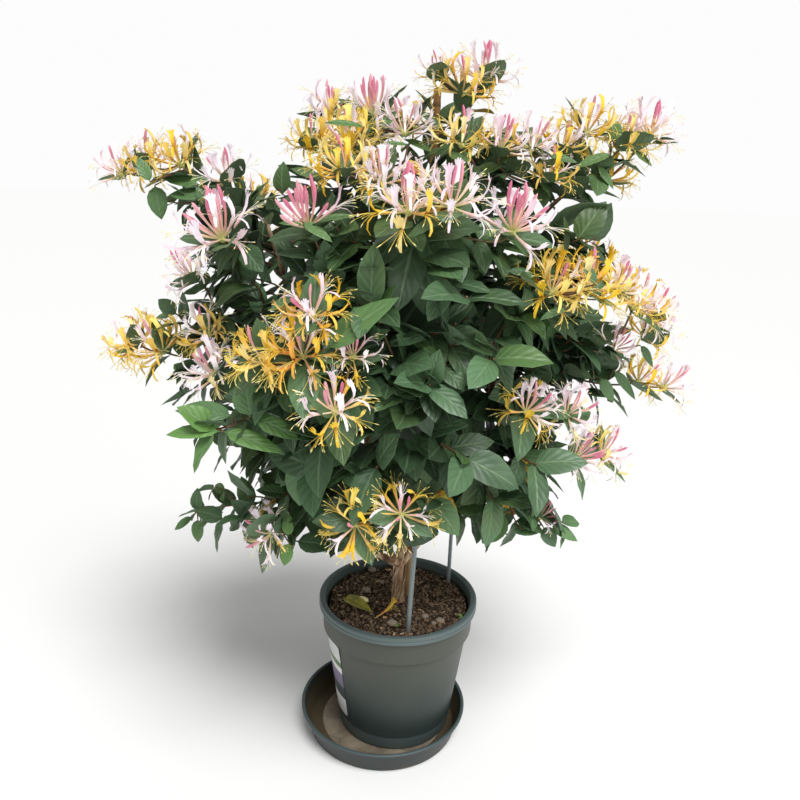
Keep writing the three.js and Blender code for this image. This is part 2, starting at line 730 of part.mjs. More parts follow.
// Places on a floret: its middle line curves up towards the head's axis, and its lips part at the throat.
function floretShape(face, axis, size) {
  const reach = (face.grows === 'bud' ? head.bud : head.flower) * face.length;
  const lean = face.grows === 'bud' ? face.lean * 0.6 + 0.2 : face.lean;
  const middle = s => face.centre.clone()
    .addScaledVector(face.out, reach * s)
    .addScaledVector(axis, reach * lean * s * s);
  const forward = middle(0.7).sub(middle(0.5)).normalize();
  const rise = axis.clone().addScaledVector(forward, -axis.dot(forward)).normalize();
  const right = rise.clone().cross(forward).normalize();
  const threeAt = (centre, radius) => [30, 150, 270].map(degrees => centre.clone()
    .addScaledVector(right, radius * Math.cos(degrees * Math.PI / 180))
    .addScaledVector(rise, radius * Math.sin(degrees * Math.PI / 180)));
  return { reach, middle, forward, rise, right, threeAt, size };
}

function growFloret(skin, root, face, axis, size, extra = 0) {
  const { reach, middle, forward, rise, right, threeAt } = floretShape(face, axis, size);
  const grown = Math.max(size, 0.9);
  if (face.grows === 'bud') {
    const places = threeAt(middle(0.78), 2.7 * grown + extra);
    const shift = leastTurn(skin, root, places);
    const club = skin.ring(root.map((_, i) => places[(i + shift) % 3]));
    skin.bridge(root, club);
    skin.toTip(club, skin.point(middle(1)));
    return;
  }
  const throat = threeAt(middle(0.56), head.throat * grown + extra);
  const shift = leastTurn(skin, root, throat);
  const ring = skin.ring(throat);
  skin.bridge(root, root.map((_, i) => ring[(i + shift) % 3]));
  const [r, l, b] = ring;
  const inner = skin.point(middle(0.6));
  // Upper lip: a broad blade that bends up and back.
  const half = head.lip * grown + extra;
  const lipMiddle = middle(0.76).addScaledVector(rise, reach * 0.14);
  const lip = skin.ring([
    lipMiddle.clone().addScaledVector(right, half),
    lipMiddle.clone().addScaledVector(right, -half),
    lipMiddle.clone().addScaledVector(rise, -0.9 - extra).addScaledVector(forward, 1 + extra),
  ]);
  skin.bridge([r, l, inner], lip);
  skin.toTip(lip, skin.point(middle(0.84).addScaledVector(rise, reach * 0.38)));
  // Lower lip: a narrow strap that curls down.
  const strap = middle(0.84).addScaledVector(rise, -reach * 0.36);
  skin.toTip([r, inner, l, b], skin.point(strap));
}

function headSolid(plan) {
  const skin = new Skin();
  const corners = skin.ring(plan.corners);
  for (const face of plan.faces) {
    const root = face.ring.map(i => corners[i]);
    if (face.grows && face.stands) growFloret(skin, root, face, plan.axis, plan.size);
    else skin.faces.push(root);
  }
  return skin.solid();
}

// One floret alone, a little stouter, for testing what stands near it.
function floretSolid(plan, face, extra) {
  const skin = new Skin();
  const root = skin.ring(face.ring.map(i => plan.corners[i]));
  skin.capNear(root);
  growFloret(skin, root, face, plan.axis, plan.size, extra);
  return skin.solid();
}

function stalk(from, to) {
  return rod(new THREE.LineCurve3(from, to), 1, 3, () => 2);
}

// ---- Standing clear ----
// Solids that stand already, with the node each belongs to.
const standing = [];

function stands(solid, owner) {
  standing.push({ solid, owner, box: solid.boundingBox() });
}

function boxesMeet(a, b) {
  return [0, 1, 2].every(k => a.min[k] < b.max[k] && b.min[k] < a.max[k]);
}

function isClear(solid, ownerIsOwn) {
  const box = solid.boundingBox();
  return standing.every(other => ownerIsOwn(other.owner)
    || !boxesMeet(box, other.box)
    || solid.intersect(other.solid).isEmpty());
}

// ---- Building ----
const group = new THREE.Group();

const finishes = {
  plastic: { color: 0x3f4a45, roughness: 0.55 },
  paper: { color: 0xe8e8e4, roughness: 0.6 },
  earth: { color: 0x2b1d15, roughness: 1 },
  stone: { color: 0xa08a78, roughness: 0.85 },
  bamboo: { color: 0xb98a4e, roughness: 0.6 },
  coated: { color: 0x7f8a88, roughness: 0.5 },
  bark: { color: 0x6b4a35, roughness: 0.95 },
  leaf: { color: 0x2f5a2c, roughness: 0.6 },
  dryLeaf: { color: 0x7f8a3a, roughness: 0.7 },
  gold: { color: 0xe9b62f, roughness: 0.6 },
  orange: { color: 0xe58f35, roughness: 0.6 },
  blush: { color: 0xf0dfe2, roughness: 0.6 },
  rose: { color: 0xcf6f8f, roughness: 0.6 },
};

function addPiece(name, solid, finish) {
  const material = new THREE.MeshStandardMaterial({ ...finishes[finish], metalness: 0, name: finish });
  const mesh = new THREE.Mesh(geometryOf(solid), material);
  mesh.name = name;
  group.add(mesh);
}

const supports = [
  ['bamboo_cane', cane, 8, 'bamboo'],
  ['stake_front', stakeFront, 6, 'coated'],
  ['stake_back', stakeBack, 6, 'coated'],
];

addPiece('saucer', buildSaucer(), 'plastic');
addPiece('pot', buildPot(), 'plastic');
addPiece('label', buildLabel(), 'paper');
const trunkSolid = buildTrunk();
const trunkClear = buildTrunk(gap);
const trunkHole = { foot: [0, 0, trunk.foot - 6], top: [0, 0, trunk.fork], radius: trunk.hole };
const supportHoles = supports.map(([, support, sides]) => straightRod(support, sides, gap));
const holes = [straightRod(trunkHole, 8), ...supportHoles];
const soilSolid = mainBody(buildSoil(holes));
addPiece('soil', soilSolid, 'earth');
addPiece('trunk', trunkSolid, 'bark');
stands(buildTrunk(0.6), 'trunk');
for (const [name, support, sides, finish] of supports) {
  addPiece(name, straightRod(support, sides), finish);
  stands(straightRod(support, sides, 0.4), name);
}

// Shoots of every branch, planned before any leaf or flower is tested against them.
const plans = [];
let branchSeed = 11;
for (const [name, branch] of Object.entries(branches)) {
  const draw = draws(branchSeed);
  branchSeed += 1;
  const start = at(limbs[branch.limb][branch.knot]);
  let main = null;
  const shoots = branch.shoots.map(([from, x, y, z, size, bloom]) => {
    const curve = shootCurve(from < 0 ? start : main.getPoint(from), vec(x, y, z));
    main = main ?? curve;
    return { curve, length: curve.getLength(), size, bloom, bare: bloom === '' };
  });
  for (const shoot of shoots) {
    shoot.stops = planShoot(shoot, draw);
    shoot.tester = shootSolid(shoot, gap + 0.1);
    stands(shoot.tester, `branch_${name}`);
  }
  plans.push({ name: `branch_${name}`, shoots });
}

// Blooms. The first head sits on the end of its shoot, the next ones on a stalk from head to head.
let headSeed = 101;
for (const [name, bloom] of Object.entries(blooms)) {
  const node = `bloom_${name}`;
  const shoot = plans.flatMap(plan => plan.shoots).find(each => each.bloom === name);
  const heads = bloom.heads.map((spec, i) => {
    const plan = planHead(spec, headSeed, i ? null : shoot.curve.getPoint(1));
    headSeed += 1;
    return plan;
  });
  const solids = [];
  heads.forEach((plan, i) => {
    const neighbours = [heads[i - 1], heads[i + 1]].filter(Boolean);
    for (const face of plan.faces.filter(each => each.grows)) {
      const tester = floretSolid(plan, face, 0.35);
      const meetsNext = neighbours.some(next => growsInto(face, plan, next));
      face.stands = !meetsNext && isClear(tester, owner => owner === node);
    }
    solids.push(headSolid(plan));
    if (i) solids.push(stalk(heads[i - 1].middle, plan.middle));
  });
  const whole = mainBody(joined(solids));
  addPiece(node, whole, bloom.colour);
  stands(whole, node);
}

// Whether a floret would run into the next head on the same stalk.
function growsInto(face, plan, next) {
  const away = next.middle.clone().sub(plan.middle);
  return away.length() < 1.5 * head.flower && face.out.dot(away.normalize()) > 0.62;
}

const bends = [0, 0.25, -0.25, 0.5, -0.5, 0.8];
for (const plan of plans) {
  for (const stop of plan.shoots.flatMap(shoot => shoot.stops)) {
    stop.leaves = stop.leaves.map(leaf => {
      const tries = bends.map(angle => bent(leaf, angle));
      const free = tries.find(each => isClear(leafSolid(each, 0.4), () => false));
      if (free) stands(leafSolid(free, 0.2), plan.name);
      return { ...(free ?? leaf), stands: Boolean(free) };
    });
  }
}

for (const plan of plans) {
  const whole = joined(plan.shoots.map(shoot => shootSolid(shoot)));
  addPiece(plan.name, mainBody(whole.subtract(trunkClear)), 'leaf');
}

addPiece('pebble', settled(buildPebble(9, 6), soilSolid, -8, -75), 'stone');
const fallenLeaf = {
  base: vec(0, 0, 0), forward: vec(0.74, -0.67, 0.05).normalize(), normal: vec(0, 0.1, 1).normalize(),
  length: 74, width: 30, droop: -0.08, fold: 0.5, wave: 0,
};
addPiece('fallen_leaf', settled(leafSolid(fallenLeaf, 0), soilSolid, -98, 1), 'dryLeaf');

export default group;
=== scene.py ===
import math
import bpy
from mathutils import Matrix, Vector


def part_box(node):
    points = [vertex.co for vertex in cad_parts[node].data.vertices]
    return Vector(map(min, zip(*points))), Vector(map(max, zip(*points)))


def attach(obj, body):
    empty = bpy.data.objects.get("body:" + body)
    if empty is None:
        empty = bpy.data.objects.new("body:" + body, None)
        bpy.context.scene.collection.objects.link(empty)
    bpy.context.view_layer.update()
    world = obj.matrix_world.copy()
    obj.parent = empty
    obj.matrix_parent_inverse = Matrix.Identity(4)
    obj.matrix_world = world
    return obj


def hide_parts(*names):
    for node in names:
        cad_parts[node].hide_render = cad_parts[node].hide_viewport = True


bl_info = {
    "name": "Honeysuckle in a pot",
    "version": (1, 0, 0),
    "blender": (4, 5, 0),
    "location": "View3D > Sidebar > Honeysuckle",
    "description": "Leaves, flowers, bark, soil and plastic for a potted honeysuckle vine",
    "category": "Add Mesh",
}

import bmesh
import bpy
import numpy as np
from bpy.props import FloatProperty, FloatVectorProperty, IntProperty, PointerProperty
from mathutils import Matrix, Quaternion, Vector, noise

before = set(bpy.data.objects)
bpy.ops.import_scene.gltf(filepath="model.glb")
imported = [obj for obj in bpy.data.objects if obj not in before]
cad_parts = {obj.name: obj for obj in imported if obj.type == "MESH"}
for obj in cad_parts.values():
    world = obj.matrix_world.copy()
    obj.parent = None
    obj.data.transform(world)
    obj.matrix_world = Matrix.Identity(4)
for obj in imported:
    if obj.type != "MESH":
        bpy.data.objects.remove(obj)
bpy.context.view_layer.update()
POT_LOW, POT_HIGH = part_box("pot")
SAUCER_LOW, SAUCER_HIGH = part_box("saucer")

MM = 0.001
UP = Vector((0, 0, 1))
GOLDEN = math.radians(137.508)
PLANT_MIDDLE = Vector((0, 0, 660)) * MM

# These tables are in millimetres. All else is in metres.

# The trunk's limbs, as knots from the fork outwards.
LIMBS = {
    "left": [(0, 0, 300), (-50, -8, 338), (-105, -28, 420), (-150, -40, 530), (-172, -35, 650),
             (-185, -15, 765), (-215, 0, 860)],
    "right": [(0, 0, 300), (30, 6, 340), (72, 10, 430), (115, 0, 540), (140, -12, 650), (160, -10, 770),
              (190, 0, 880)],
    "front": [(0, 0, 300), (-14, -42, 345), (-38, -92, 430), (-52, -125, 540), (-50, -145, 660),
              (-35, -150, 770), (-20, -140, 860)],
    "back": [(0, 0, 300), (4, 48, 350), (14, 105, 430), (10, 140, 540), (0, 150, 660), (-5, 140, 780),
             (0, 115, 880)],
}

CANE_FOOT = (13, 24, 90)
CANE_TOP = (30, 0, 1057)

# Each branch: its limb, its knot on the limb, and its shoots, the main one first.
# Each shoot: place along the main shoot, or -1 for the main shoot itself, end x, y, z, leaf size, and what it
# carries: a bloom, or "young" leaves at its end.
BRANCHES = {
    "upper_left": ("left", 6, [
        (-1, -338, 5, 937, 1, "far_left"), (0.4, -256, -56, 916, 0.9, "left_white"),
        (0.15, -238, -170, 848, 1.1, "left_rose"), (0.5, -330, 75, 880, 1)]),
    "left": ("left", 4, [
        (-1, -358, -60, 672, 1, "left_gold"), (0.55, -304, -78, 786, 0.9, "left_small"),
        (0.4, -258, -142, 662, 1, "left_mixed"), (0.25, -200, 60, 700, 1.1), (0.3, -215, -125, 792, 1.1)]),
    "front_left": ("front", 4, [
        (-1, -172, -240, 708, 1.1, "front_gold"), (0.5, -122, -270, 724, 1.1, "front_orange"),
        (0.2, -82, -288, 662, 1, "front_white"), (0.35, -252, -225, 612, 1, "young"),
        (0.3, -122, -220, 870, 1, "front_rose")]),
    "low_left": ("left", 2, [
        (-1, -186, -143, 427, 1.1, "low_left"), (0.3, -328, -60, 415, 0.7), (0.15, -215, -50, 520, 1)]),
    "low_front": ("front", 2, [
        (-1, -60, -210, 480, 1, "low_front"), (0.37, -125, -185, 545, 1.1), (0.34, 42, -195, 510, 1.1),
        (0.4, -35, -205, 560, 1.1)]),
    "front_middle": ("front", 3, [
        (-1, 30, -250, 690, 1.1), (0.3, -110, -235, 600, 1.1), (0.35, 85, -215, 580, 1.1),
        (0.6, -45, -255, 790, 1.05)]),
    "top_left": ("middle", 9, [
        (-1, -85, -94, 966, 1, "top_left"), (0.5, -58, -18, 1013, 1, "top_middle"),
        (0.3, -38, -180, 924, 1, "top_front"), (0.6, -150, 40, 930, 1.1)]),
    "top": ("middle", 11, [
        (-1, 94, 4, 1064, 0.85, "top"), (0.4, 62, -82, 974, 0.9, "top_low"), (0.32, -4, 62, 1020, 1)]),
    "front_top": ("front", 6, [
        (-1, -5, -238, 892, 1, "front_top"), (0.35, 122, -200, 872, 1, "right_rose"), (0.5, 70, -245, 800, 1.2),
        (0.25, -95, -205, 800, 1.1)]),
    "top_right": ("right", 6, [
        (-1, 297, 0, 985, 1, "far_right_top"), (0.3, 206, -15, 975, 0.9, "right_top_middle"),
        (0.2, 116, -72, 970, 1, "right_top_near"), (0.5, 250, 70, 930, 1)]),
    "right_middle": ("right", 5, [
        (-1, 180, -178, 796, 1.1, "right_gold"), (0.35, 298, -60, 700, 1, "right_mixed"),
        (0.4, 110, -225, 720, 1.2), (0.32, 250, 30, 800, 1.1)]),
    "right_low": ("right", 4, [
        (-1, 366, 18, 632, 1, "far_right"), (0.3, 165, -142, 626, 1.1, "right_front"), (0.6, 300, 70, 690, 1),
        (0.42, 245, -55, 715, 1.1)]),
    "low_right": ("right", 3, [
        (-1, 260, -54, 528, 1, "right_bottom"), (0.35, 215, -60, 430, 0.9, "low_right"),
        (0.2, 135, -150, 492, 1.1), (0.3, 185, -175, 560, 1.1)]),
    "back_left": ("back", 5, [
        (-1, -255, 120, 880, 1, "back_left_top"), (0.5, -150, 205, 800, 1.1, "back_left"),
        (0.32, -62, 92, 985, 1, "back_top"), (0.3, 0, 235, 850, 1, "back_middle"),
        (0.35, -170, 200, 640, 1.1, "back_left_low"), (0.6, -290, 120, 770, 1.1)]),
    "back_right": ("back", 2, [
        (-1, 240, 150, 790, 1, "back_right"), (0.5, 110, 225, 700, 1.1, "back_right_low"),
        (0.3, 20, 215, 500, 1.2), (0.35, 190, 150, 560, 1.1), (0.7, 130, 165, 890, 1.1)]),
}

# Leafy side shoots: place along the branch's main shoot, end x, y, z, and leaf size.
SIDE_SHOOTS = {
    "upper_left": [(0.4, -362, -8, 893, 0.9), (0.1, -300, -30, 884, 1)],
    "left": [(0.6, -352, -52, 735, 0.9), (0.5, -335, -85, 618, 1)],
    "front_left": [(0.45, -292, -150, 596, 0.9)],
    "low_right": [(0.35, 192, -75, 412, 1.1), (0.5, 262, -60, 416, 0.9)],
    "top_left": [(0.35, -190, -60, 915, 1.1), (0.2, -130, -112, 905, 1.1), (0.15, 2, -75, 962, 1)],
    "top": [(0.3, 112, -60, 940, 1)],
    "low_left": [(0.6, -232, -122, 470, 1), (0.75, -298, -138, 432, 0.8)],
    "right_low": [(0.8, 320, -30, 612, 0.9)],
    "top_right": [(0.6, 276, -20, 950, 0.85), (0.3, 166, -62, 878, 1)],
}

# Single leaves that face outwards, each on the nearest stem: base x, y, z, tip x, y, z, width and youth.
LONE_LEAVES = {
    "upper_left": [
        (-304, -5, 913, -372, 0, 930, 34, 0.4), (-381, 0, 911, -370, -15, 864, 30, 0.2),
        (-303, -15, 899, -357, -15, 903, 30, 0.2), (-284, -15, 915, -244, -30, 890, 32, 0.1),
        (-369, -55, 917, -387, -50, 951, 18, 0.3)],
    "front_left": [
        (-96, -284, 738, -17, -287, 808, 42, 0.35), (-239, -228, 611, -310, -232, 609, 24, 0.9),
        (-233, -232, 612, -154, -240, 593, 26, 0.8), (-191, -235, 634, -134, -245, 613, 27, 0.6),
        (-226, -215, 627, -295, -205, 640, 30, 0.25), (-200, -225, 631, -210, -215, 683, 38, 0.1),
        (-164, -240, 666, -109, -245, 646, 32, 0.1), (-128, -245, 881, -91, -260, 863, 15, 0.3),
        (-112, -235, 881, -65, -235, 894, 13, 0.1), (-128, -240, 877, -156, -245, 881, 9, 0.6)],
    "low_left": [
        (-230, -100, 445, -244, -95, 492, 28, 0.1), (-226, -110, 438, -224, -125, 387, 30, 0),
        (-163, -150, 413, -171, -160, 380, 22, 0.8), (-165, -150, 424, -165, -145, 459, 18, 0.8),
        (-154, -140, 411, -97, -145, 410, 34, 0), (-325, -60, 416, -324, -55, 453, 21, 0.1),
        (-323, -60, 402, -323, -70, 365, 21, 0.3), (-332, -60, 405, -362, -65, 385, 16, 0.4),
        (-319, -60, 409, -284, -55, 415, 18, 0.2), (-146, -140, 539, -178, -150, 503, 24, 0)],
    "low_front": [(-139, -175, 556, -144, -190, 490, 46, 0)],
    "low_right": [
        (125, -100, 469, 78, -105, 460, 42, 0.2), (162, -75, 439, 126, -90, 394, 44, 0.2),
        (222, -62, 415, 177, -80, 412, 30, 0.2), (225, -64, 413, 245, -80, 387, 27, 0),
        (238, -60, 415, 282, -70, 395, 22, 0.3), (231, -50, 424, 229, -45, 456, 24, 0.2),
        (199, -60, 425, 180, -50, 449, 24, 0), (191, -60, 466, 182, -50, 494, 22, 0.3)],
    "top_left": [
        (-65, -130, 995, -114, -140, 1002, 14, 0.45), (-8, -125, 975, -43, -135, 978, 10, 0.4),
        (27, -60, 969, -13, -60, 988, 16, 0.4), (-120, -140, 930, -158, -135, 944, 18, 0.1),
        (-13, -110, 957, 27, -120, 933, 17, 0.1), (-46, -60, 998, -27, -40, 1026, 16, 0.3)],
    "top": [
        (39, -20, 1004, 5, -20, 1027, 17, 0.5), (28, -90, 925, 65, -90, 944, 16, 0.4),
        (49, -10, 1028, 89, -15, 1014, 13, 0.2)],
    "top_right": [
        (179, -95, 968, 216, -105, 964, 17, 0.1), (271, -55, 975, 222, -65, 959, 19, 0.3),
        (263, -20, 959, 288, -30, 930, 14, 0.1), (317, 0, 982, 348, 0, 964, 17, 0.3),
        (340, 0, 993, 381, 5, 999, 12, 0.2), (201, -30, 957, 226, -35, 931, 23, 0.3),
        (278, -25, 994, 284, -20, 1021, 21, 0.4), (250, 20, 921, 274, 15, 906, 16, 0.2)],
    "right_middle": [
        (233, -205, 815, 216, -205, 842, 15, 0.1), (233, -205, 808, 247, -200, 822, 10, 0.1),
        (236, -200, 795, 264, -200, 789, 11, 0.1), (159, -200, 822, 122, -205, 831, 18, 0.1),
        (197, -210, 785, 164, -220, 773, 13, 0.1), (209, -120, 753, 173, -120, 741, 14, 0.5),
        (355, -20, 701, 382, -20, 668, 17, 0.1)],
    "right_low": [
        (282, -40, 652, 247, -40, 668, 20, 0.2), (300, -20, 647, 324, -30, 612, 22, 0.2),
        (324, 0, 656, 365, -10, 613, 19, 0.2), (229, -60, 666, 212, -60, 650, 19, 0.1)],
    "front_top": [(46, -262, 898, -8, -270, 872, 19, 0.05)],
}

# Each bloom: its look, and its heads. The first stands on its shoot's end and has a size, the others have x, y, z
# and a size, and some have a look of their own.
BLOOMS = {
    "far_left": ("gold", [(1,), (-395, 20, 935, 1), (-435, 20, 925, 0.85, "blush")]),
    "left_white": ("blush", [(0.9,)]),
    "left_rose": ("blush", [(1.25, "rose")]),
    "left_gold": ("gold", [(1.1,), (-405, -45, 680, 1)]),
    "left_small": ("blush", [(0.85,)]),
    "left_mixed": ("blush", [(1,), (-280, -112, 712, 0.9, "gold")]),
    "front_gold": ("gold", [(1,)]),
    "front_orange": ("orange", [(1.1,), (-110, -290, 778, 0.9)]),
    "front_white": ("blush", [(1, "mixed"), (-65, -262, 725, 0.75)]),
    "front_rose": ("rose", [(1.1, "buds")]),
    "low_left": ("blush", [(0.9,)]),
    "low_front": ("gold", [(1,), (0, -230, 504, 1, "mixed")]),
    "top_left": ("gold", [(1.1,), (-135, -80, 970, 0.9)]),
    "top_middle": ("blush", [(1, "rose"), (-15, -60, 992, 0.9), (-120, -12, 1016, 0.9, "mixed")]),
    "top_front": ("blush", [(0.9, "mixed"), (-85, -180, 938, 0.9, "gold")]),
    "top": ("gold", [(1, "blush"), (64, -16, 1050, 1.05), (26, -16, 1070, 0.6, "blush")]),
    "top_low": ("gold", [(0.9,)]),
    "front_top": ("gold", [(1.1, "mixed"), (46, -244, 904, 1, "blush")]),
    "right_rose": ("rose", [(1.1,)]),
    "right_top_near": ("blush", [(0.9,), (160, -62, 977, 0.9), (182, -80, 940, 0.8, "gold")]),
    "right_top_middle": ("gold", [(0.9,), (245, -10, 1004, 0.95)]),
    "far_right_top": ("blush", [(1, "gold"), (338, 10, 1003, 1), (297, 60, 940, 0.9, "gold")]),
    "right_gold": ("gold", [(1.1,), (228, -170, 802, 1.1), (280, -120, 795, 0.9, "mixed")]),
    "right_mixed": ("gold", [
        (0.7, "rose"), (320, -80, 768, 1), (350, -50, 752, 1, "blush"), (360, -20, 714, 0.9, "mixed")]),
    "far_right": ("blush", [(0.9, "gold"), (420, 40, 620, 0.95)]),
    "right_front": ("gold", [(1, "mixed"), (232, -122, 618, 0.95, "blush")]),
    "right_bottom": ("blush", [(0.95, "rose"), (310, -42, 530, 0.9, "mixed")]),
    "low_right": ("blush", [(0.6, "buds")]),
    "back_left_top": ("gold", [(1,), (-310, 112, 870, 0.9)]),
    "back_left": ("blush", [(1.1,), (-200, 190, 820, 0.9)]),
    "back_top": ("gold", [(1.1,), (0, 110, 1010, 0.9)]),
    "back_middle": ("rose", [(1,), (62, 225, 872, 0.9)]),
    "back_right": ("gold", [(1,), (292, 130, 815, 0.9)]),
    "back_right_low": ("blush", [(1,), (165, 215, 690, 0.9)]),
    "back_left_low": ("gold", [(1,), (-228, 180, 630, 0.9)]),
}

# Each look: the flowers and buds of a head, the share of flowers that are newly open, the age of the others,
# and how wide the buds spread, in degrees. Age 0 is a bud, 0.35 newly open, 0.7 golden and 1 orange.
LOOKS = {
    "gold": (15, 1, 0.1, 0.7, 34),
    "mixed": (14, 3, 0.5, 0.68, 34),
    "blush": (13, 3, 0.9, 0.62, 34),
    "rose": (8, 10, 1.1, 0.62, 44),
    "buds": (1, 13, 1.0, 0.6, 54),
    "orange": (15, 2, 0.1, 0.82, 34),
}


# ---- Numbers, places and curves ----

def draws(seed):
    """Repeatable draws between two numbers."""
    whole = 0xFFFFFFFF
    state = seed * 2654435761 & whole

    def draw(low=0.0, high=1.0):
        nonlocal state
        state = (state + 0x6D2B79F5) & whole
        t = (state ^ (state >> 15)) * (1 | state) & whole
        t = (t + ((t ^ (t >> 7)) * (61 | t) & whole) & whole) ^ t
        return low + (high - low) * ((t ^ (t >> 14)) & whole) / (whole + 1)

    return draw


def at(place):
    """A place from a table, in metres."""
    return Vector(place[:3]) * MM


def square_to(direction, along):
    """The part of a direction that is square to another, as a unit vector."""
    return (direction - along * direction.dot(along)).normalized()


def any_square(along):
    return along.cross(UP if abs(along.z) < 0.9 else Vector((1, 0, 0))).normalized()


def turned_about(direction, axis, angle):
    return Quaternion(axis, angle) @ direction


def through(knots, share):
    """The place at a share of a smooth curve through its knots."""
    reach = (len(knots) - 1) * min(max(share, 0), 1)
    i = min(int(reach), len(knots) - 2)
    t = reach - i
    b, c = knots[i], knots[i + 1]
    a = knots[i - 1] if i else b * 2 - c
    d = knots[i + 2] if i + 2 < len(knots) else c * 2 - b
    start, end = (c - a) / 2, (d - b) / 2
    return b + start * t + (c * 3 - b * 3 - start * 2 - end) * t**2 + (b * 2 - c * 2 + start + end) * t**3


def around(axis, angle):
    """A direction square to an axis, at an angle about it."""
    return turned_about(any_square(axis), axis, angle)


def placed(x, y, z, origin):
    """The matrix that carries a small shape's axes to x, y and z, and its foot to an origin."""
    matrix = Matrix((x, y, z)).transposed().to_4x4()
    matrix.translation = origin
    return matrix


def winding_knots():
    """The middle limb climbs the cane in a slow helix."""
    first, last, step, radius = 360, 980, 62, 15
    knots = [(0, 0, 300)]
    for height in range(first, last + 1, step):
        share = (height - CANE_FOOT[2]) / (CANE_TOP[2] - CANE_FOOT[2])
        angle = math.tau * (0.66 + 2.6 * (height - first) / 1000)
        x, y = (foot + (top - foot) * share for foot, top in zip(CANE_FOOT[:2], CANE_TOP))
        knots.append((x + radius * math.cos(angle), y + radius * math.sin(angle), height))
    return knots


LIMBS["middle"] = winding_knots()


def facing(end):
    """The way that a shoot's end looks: outwards from the plant and somewhat up."""
    out = end - PLANT_MIDDLE
    out.z *= 0.8
    return (out.normalized() + UP * 0.35).normalized()


def blooming(place):
    """The way that a head of flowers looks: like its shoot, but more to the sky."""
    return (facing(place) + UP * 0.6).normalized()


class Shoot:
    """A stem that arches from its start to its end."""

    def __init__(self, start, end, size, bloom=""):
        length = (end - start).length
        towards = (end - start).normalized()
        first = start + towards * length * 0.33 + UP * length * 0.1
        last = end - facing(end) * length * 0.3
        self.corners = (start, first, last, end)
        self.size = size
        self.bloom = bloom
        places = [self.point(i / 100) for i in range(101)]
        self.length = sum((b - a).length for a, b in zip(places, places[1:]))

    def point(self, t):
        a, b, c, d = self.corners
        s = 1 - t
        return a * s**3 + b * 3 * s * s * t + c * 3 * s * t * t + d * t**3

    def tangent(self, t):
        a, b, c, d = self.corners
        s = 1 - t
        return ((b - a) * s * s + (c - b) * 2 * s * t + (d - c) * t * t).normalized()


def shoots_of(branch):
    """A branch's shoots, the main one first."""
    limb, knot, rows = BRANCHES[branch]
    start = at(LIMBS[limb][knot])
    shoots = []
    for place, x, y, z, *kind in rows:
        foot = start if place < 0 else shoots[0].point(place)
        shoots.append(Shoot(foot, at((x, y, z)), *kind))
    return shoots


# ---- Leaves: where each stands ----

def leaf_at(middle, along, out, grown, draw):
    """A leaf that leaves its stem sideways and turns its face to the light."""
    away = Vector((middle.x, middle.y, (middle.z - PLANT_MIDDLE.z) * 0.5)).normalized()
    forward = out * 0.85 + along * 0.45 + away * 0.35
    forward += Vector((draw(-0.2, 0.2), draw(-0.2, 0.2), draw(-0.35, 0.1)))
    forward.normalize()
    light = UP * 0.8 + away * 0.75 + Vector((draw(-0.3, 0.3), draw(-0.3, 0.3), draw(-0.1, 0.3)))
    size = bpy.context.scene.honeysuckle_leaves
    return {
        "base": middle.copy(), "forward": forward, "normal": square_to(light, forward),
        "length": size.length * grown * draw(0.92, 1.1), "width": size.width * grown * draw(0.9, 1.12),
        "droop": draw(0.08, 0.3), "fold": draw(0.1, 0.34), "wave": draw(-0.12, 0.12),
        "young": max(0.0, 0.75 - grown) * 1.2,
    }


def leaf_matrix(leaf):
    """Where the leaf template goes for a leaf."""
    side = leaf["forward"].cross(leaf["normal"])
    wide, long = leaf["width"] * 2, leaf["length"]
    return placed(side * wide, leaf["forward"] * long, leaf["normal"] * long, leaf["base"])


def hangs_over_pot(leaf):
    """Whether a leaf's tip reaches into the clear space between the plant and its pot."""
    half_width, floor, slope = 0.14, 0.30, 0.65
    tip = leaf["base"] + leaf["forward"] * leaf["length"]
    return abs(tip.x) < half_width and tip.z < floor - slope * tip.y


def main_leaves(shoot, draw):
    """The pairs that the solids have, each at right angles to the pair below. Returns their places too."""
    first, gap, short_of_end = 0.33, 0.05, 0.008
    pairs = max(1, round(shoot.length * 0.67 / gap))
    last = 1 - short_of_end / shoot.length
    roll = draw(0, math.pi)
    stops = []
    normal = None
    for k in range(pairs):
        share = last if pairs == 1 else first + (last - first) * k / (pairs - 1)
        along = shoot.tangent(share)
        normal = square_to(normal, along) if normal else around(along, roll)
        grown = shoot.size * (1 - 0.42 * (k / pairs) ** 2) * draw(0.85, 1.12)
        stops.append((share, along, normal, grown))
    leaves = []
    for k, (share, along, normal, grown) in enumerate(stops):
        for side in (0, 2):
            out = turned_about(normal, along, ((side + k) % 4 + 0.5) * math.pi / 2)
            leaves.append(leaf_at(shoot.point(share), along, out, grown, draw))
    return [stop[0] for stop in stops], leaves


def pairs_between(shoot, taken, draw, spacing, low=0.1, high=0.97):
    """More pairs along a shoot, clear of the joints that are taken."""
    clear = 0.011
    leaves = []
    count = max(1, round(shoot.length * (high - low) / spacing))
    roll = draw(0, math.pi)
    for k in range(count):
        share = low + (high - low) * (k + draw(0.3, 0.7)) / count
        if any(abs(share - other) * shoot.length < clear for other in taken):
            continue
        along = shoot.tangent(share)
        normal = around(along, roll + k * math.pi / 2)
        grown = shoot.size * (1 - 0.4 * share**2) * draw(0.72, 1.08)
        for sign in (1, -1):
            leaves.append(leaf_at(shoot.point(share), along, normal * sign, grown, draw))
    return leaves


def twig(middle, direction, length, size, draw):
    """A short side shoot with a few pairs and a tuft of young leaves."""
    end = middle + direction.normalized() * length
    shoot = Shoot(middle, end, size)
    leaves = pairs_between(shoot, (), draw, 0.026, 0.35, 0.95)
    along = shoot.tangent(1)
    normal = around(along, draw(0, math.pi))
    for sign in (1, -1):
        leaves.append(leaf_at(shoot.point(0.98), along * 1.5, normal * sign, size * draw(0.5, 0.75), draw))
    return shoot, leaves


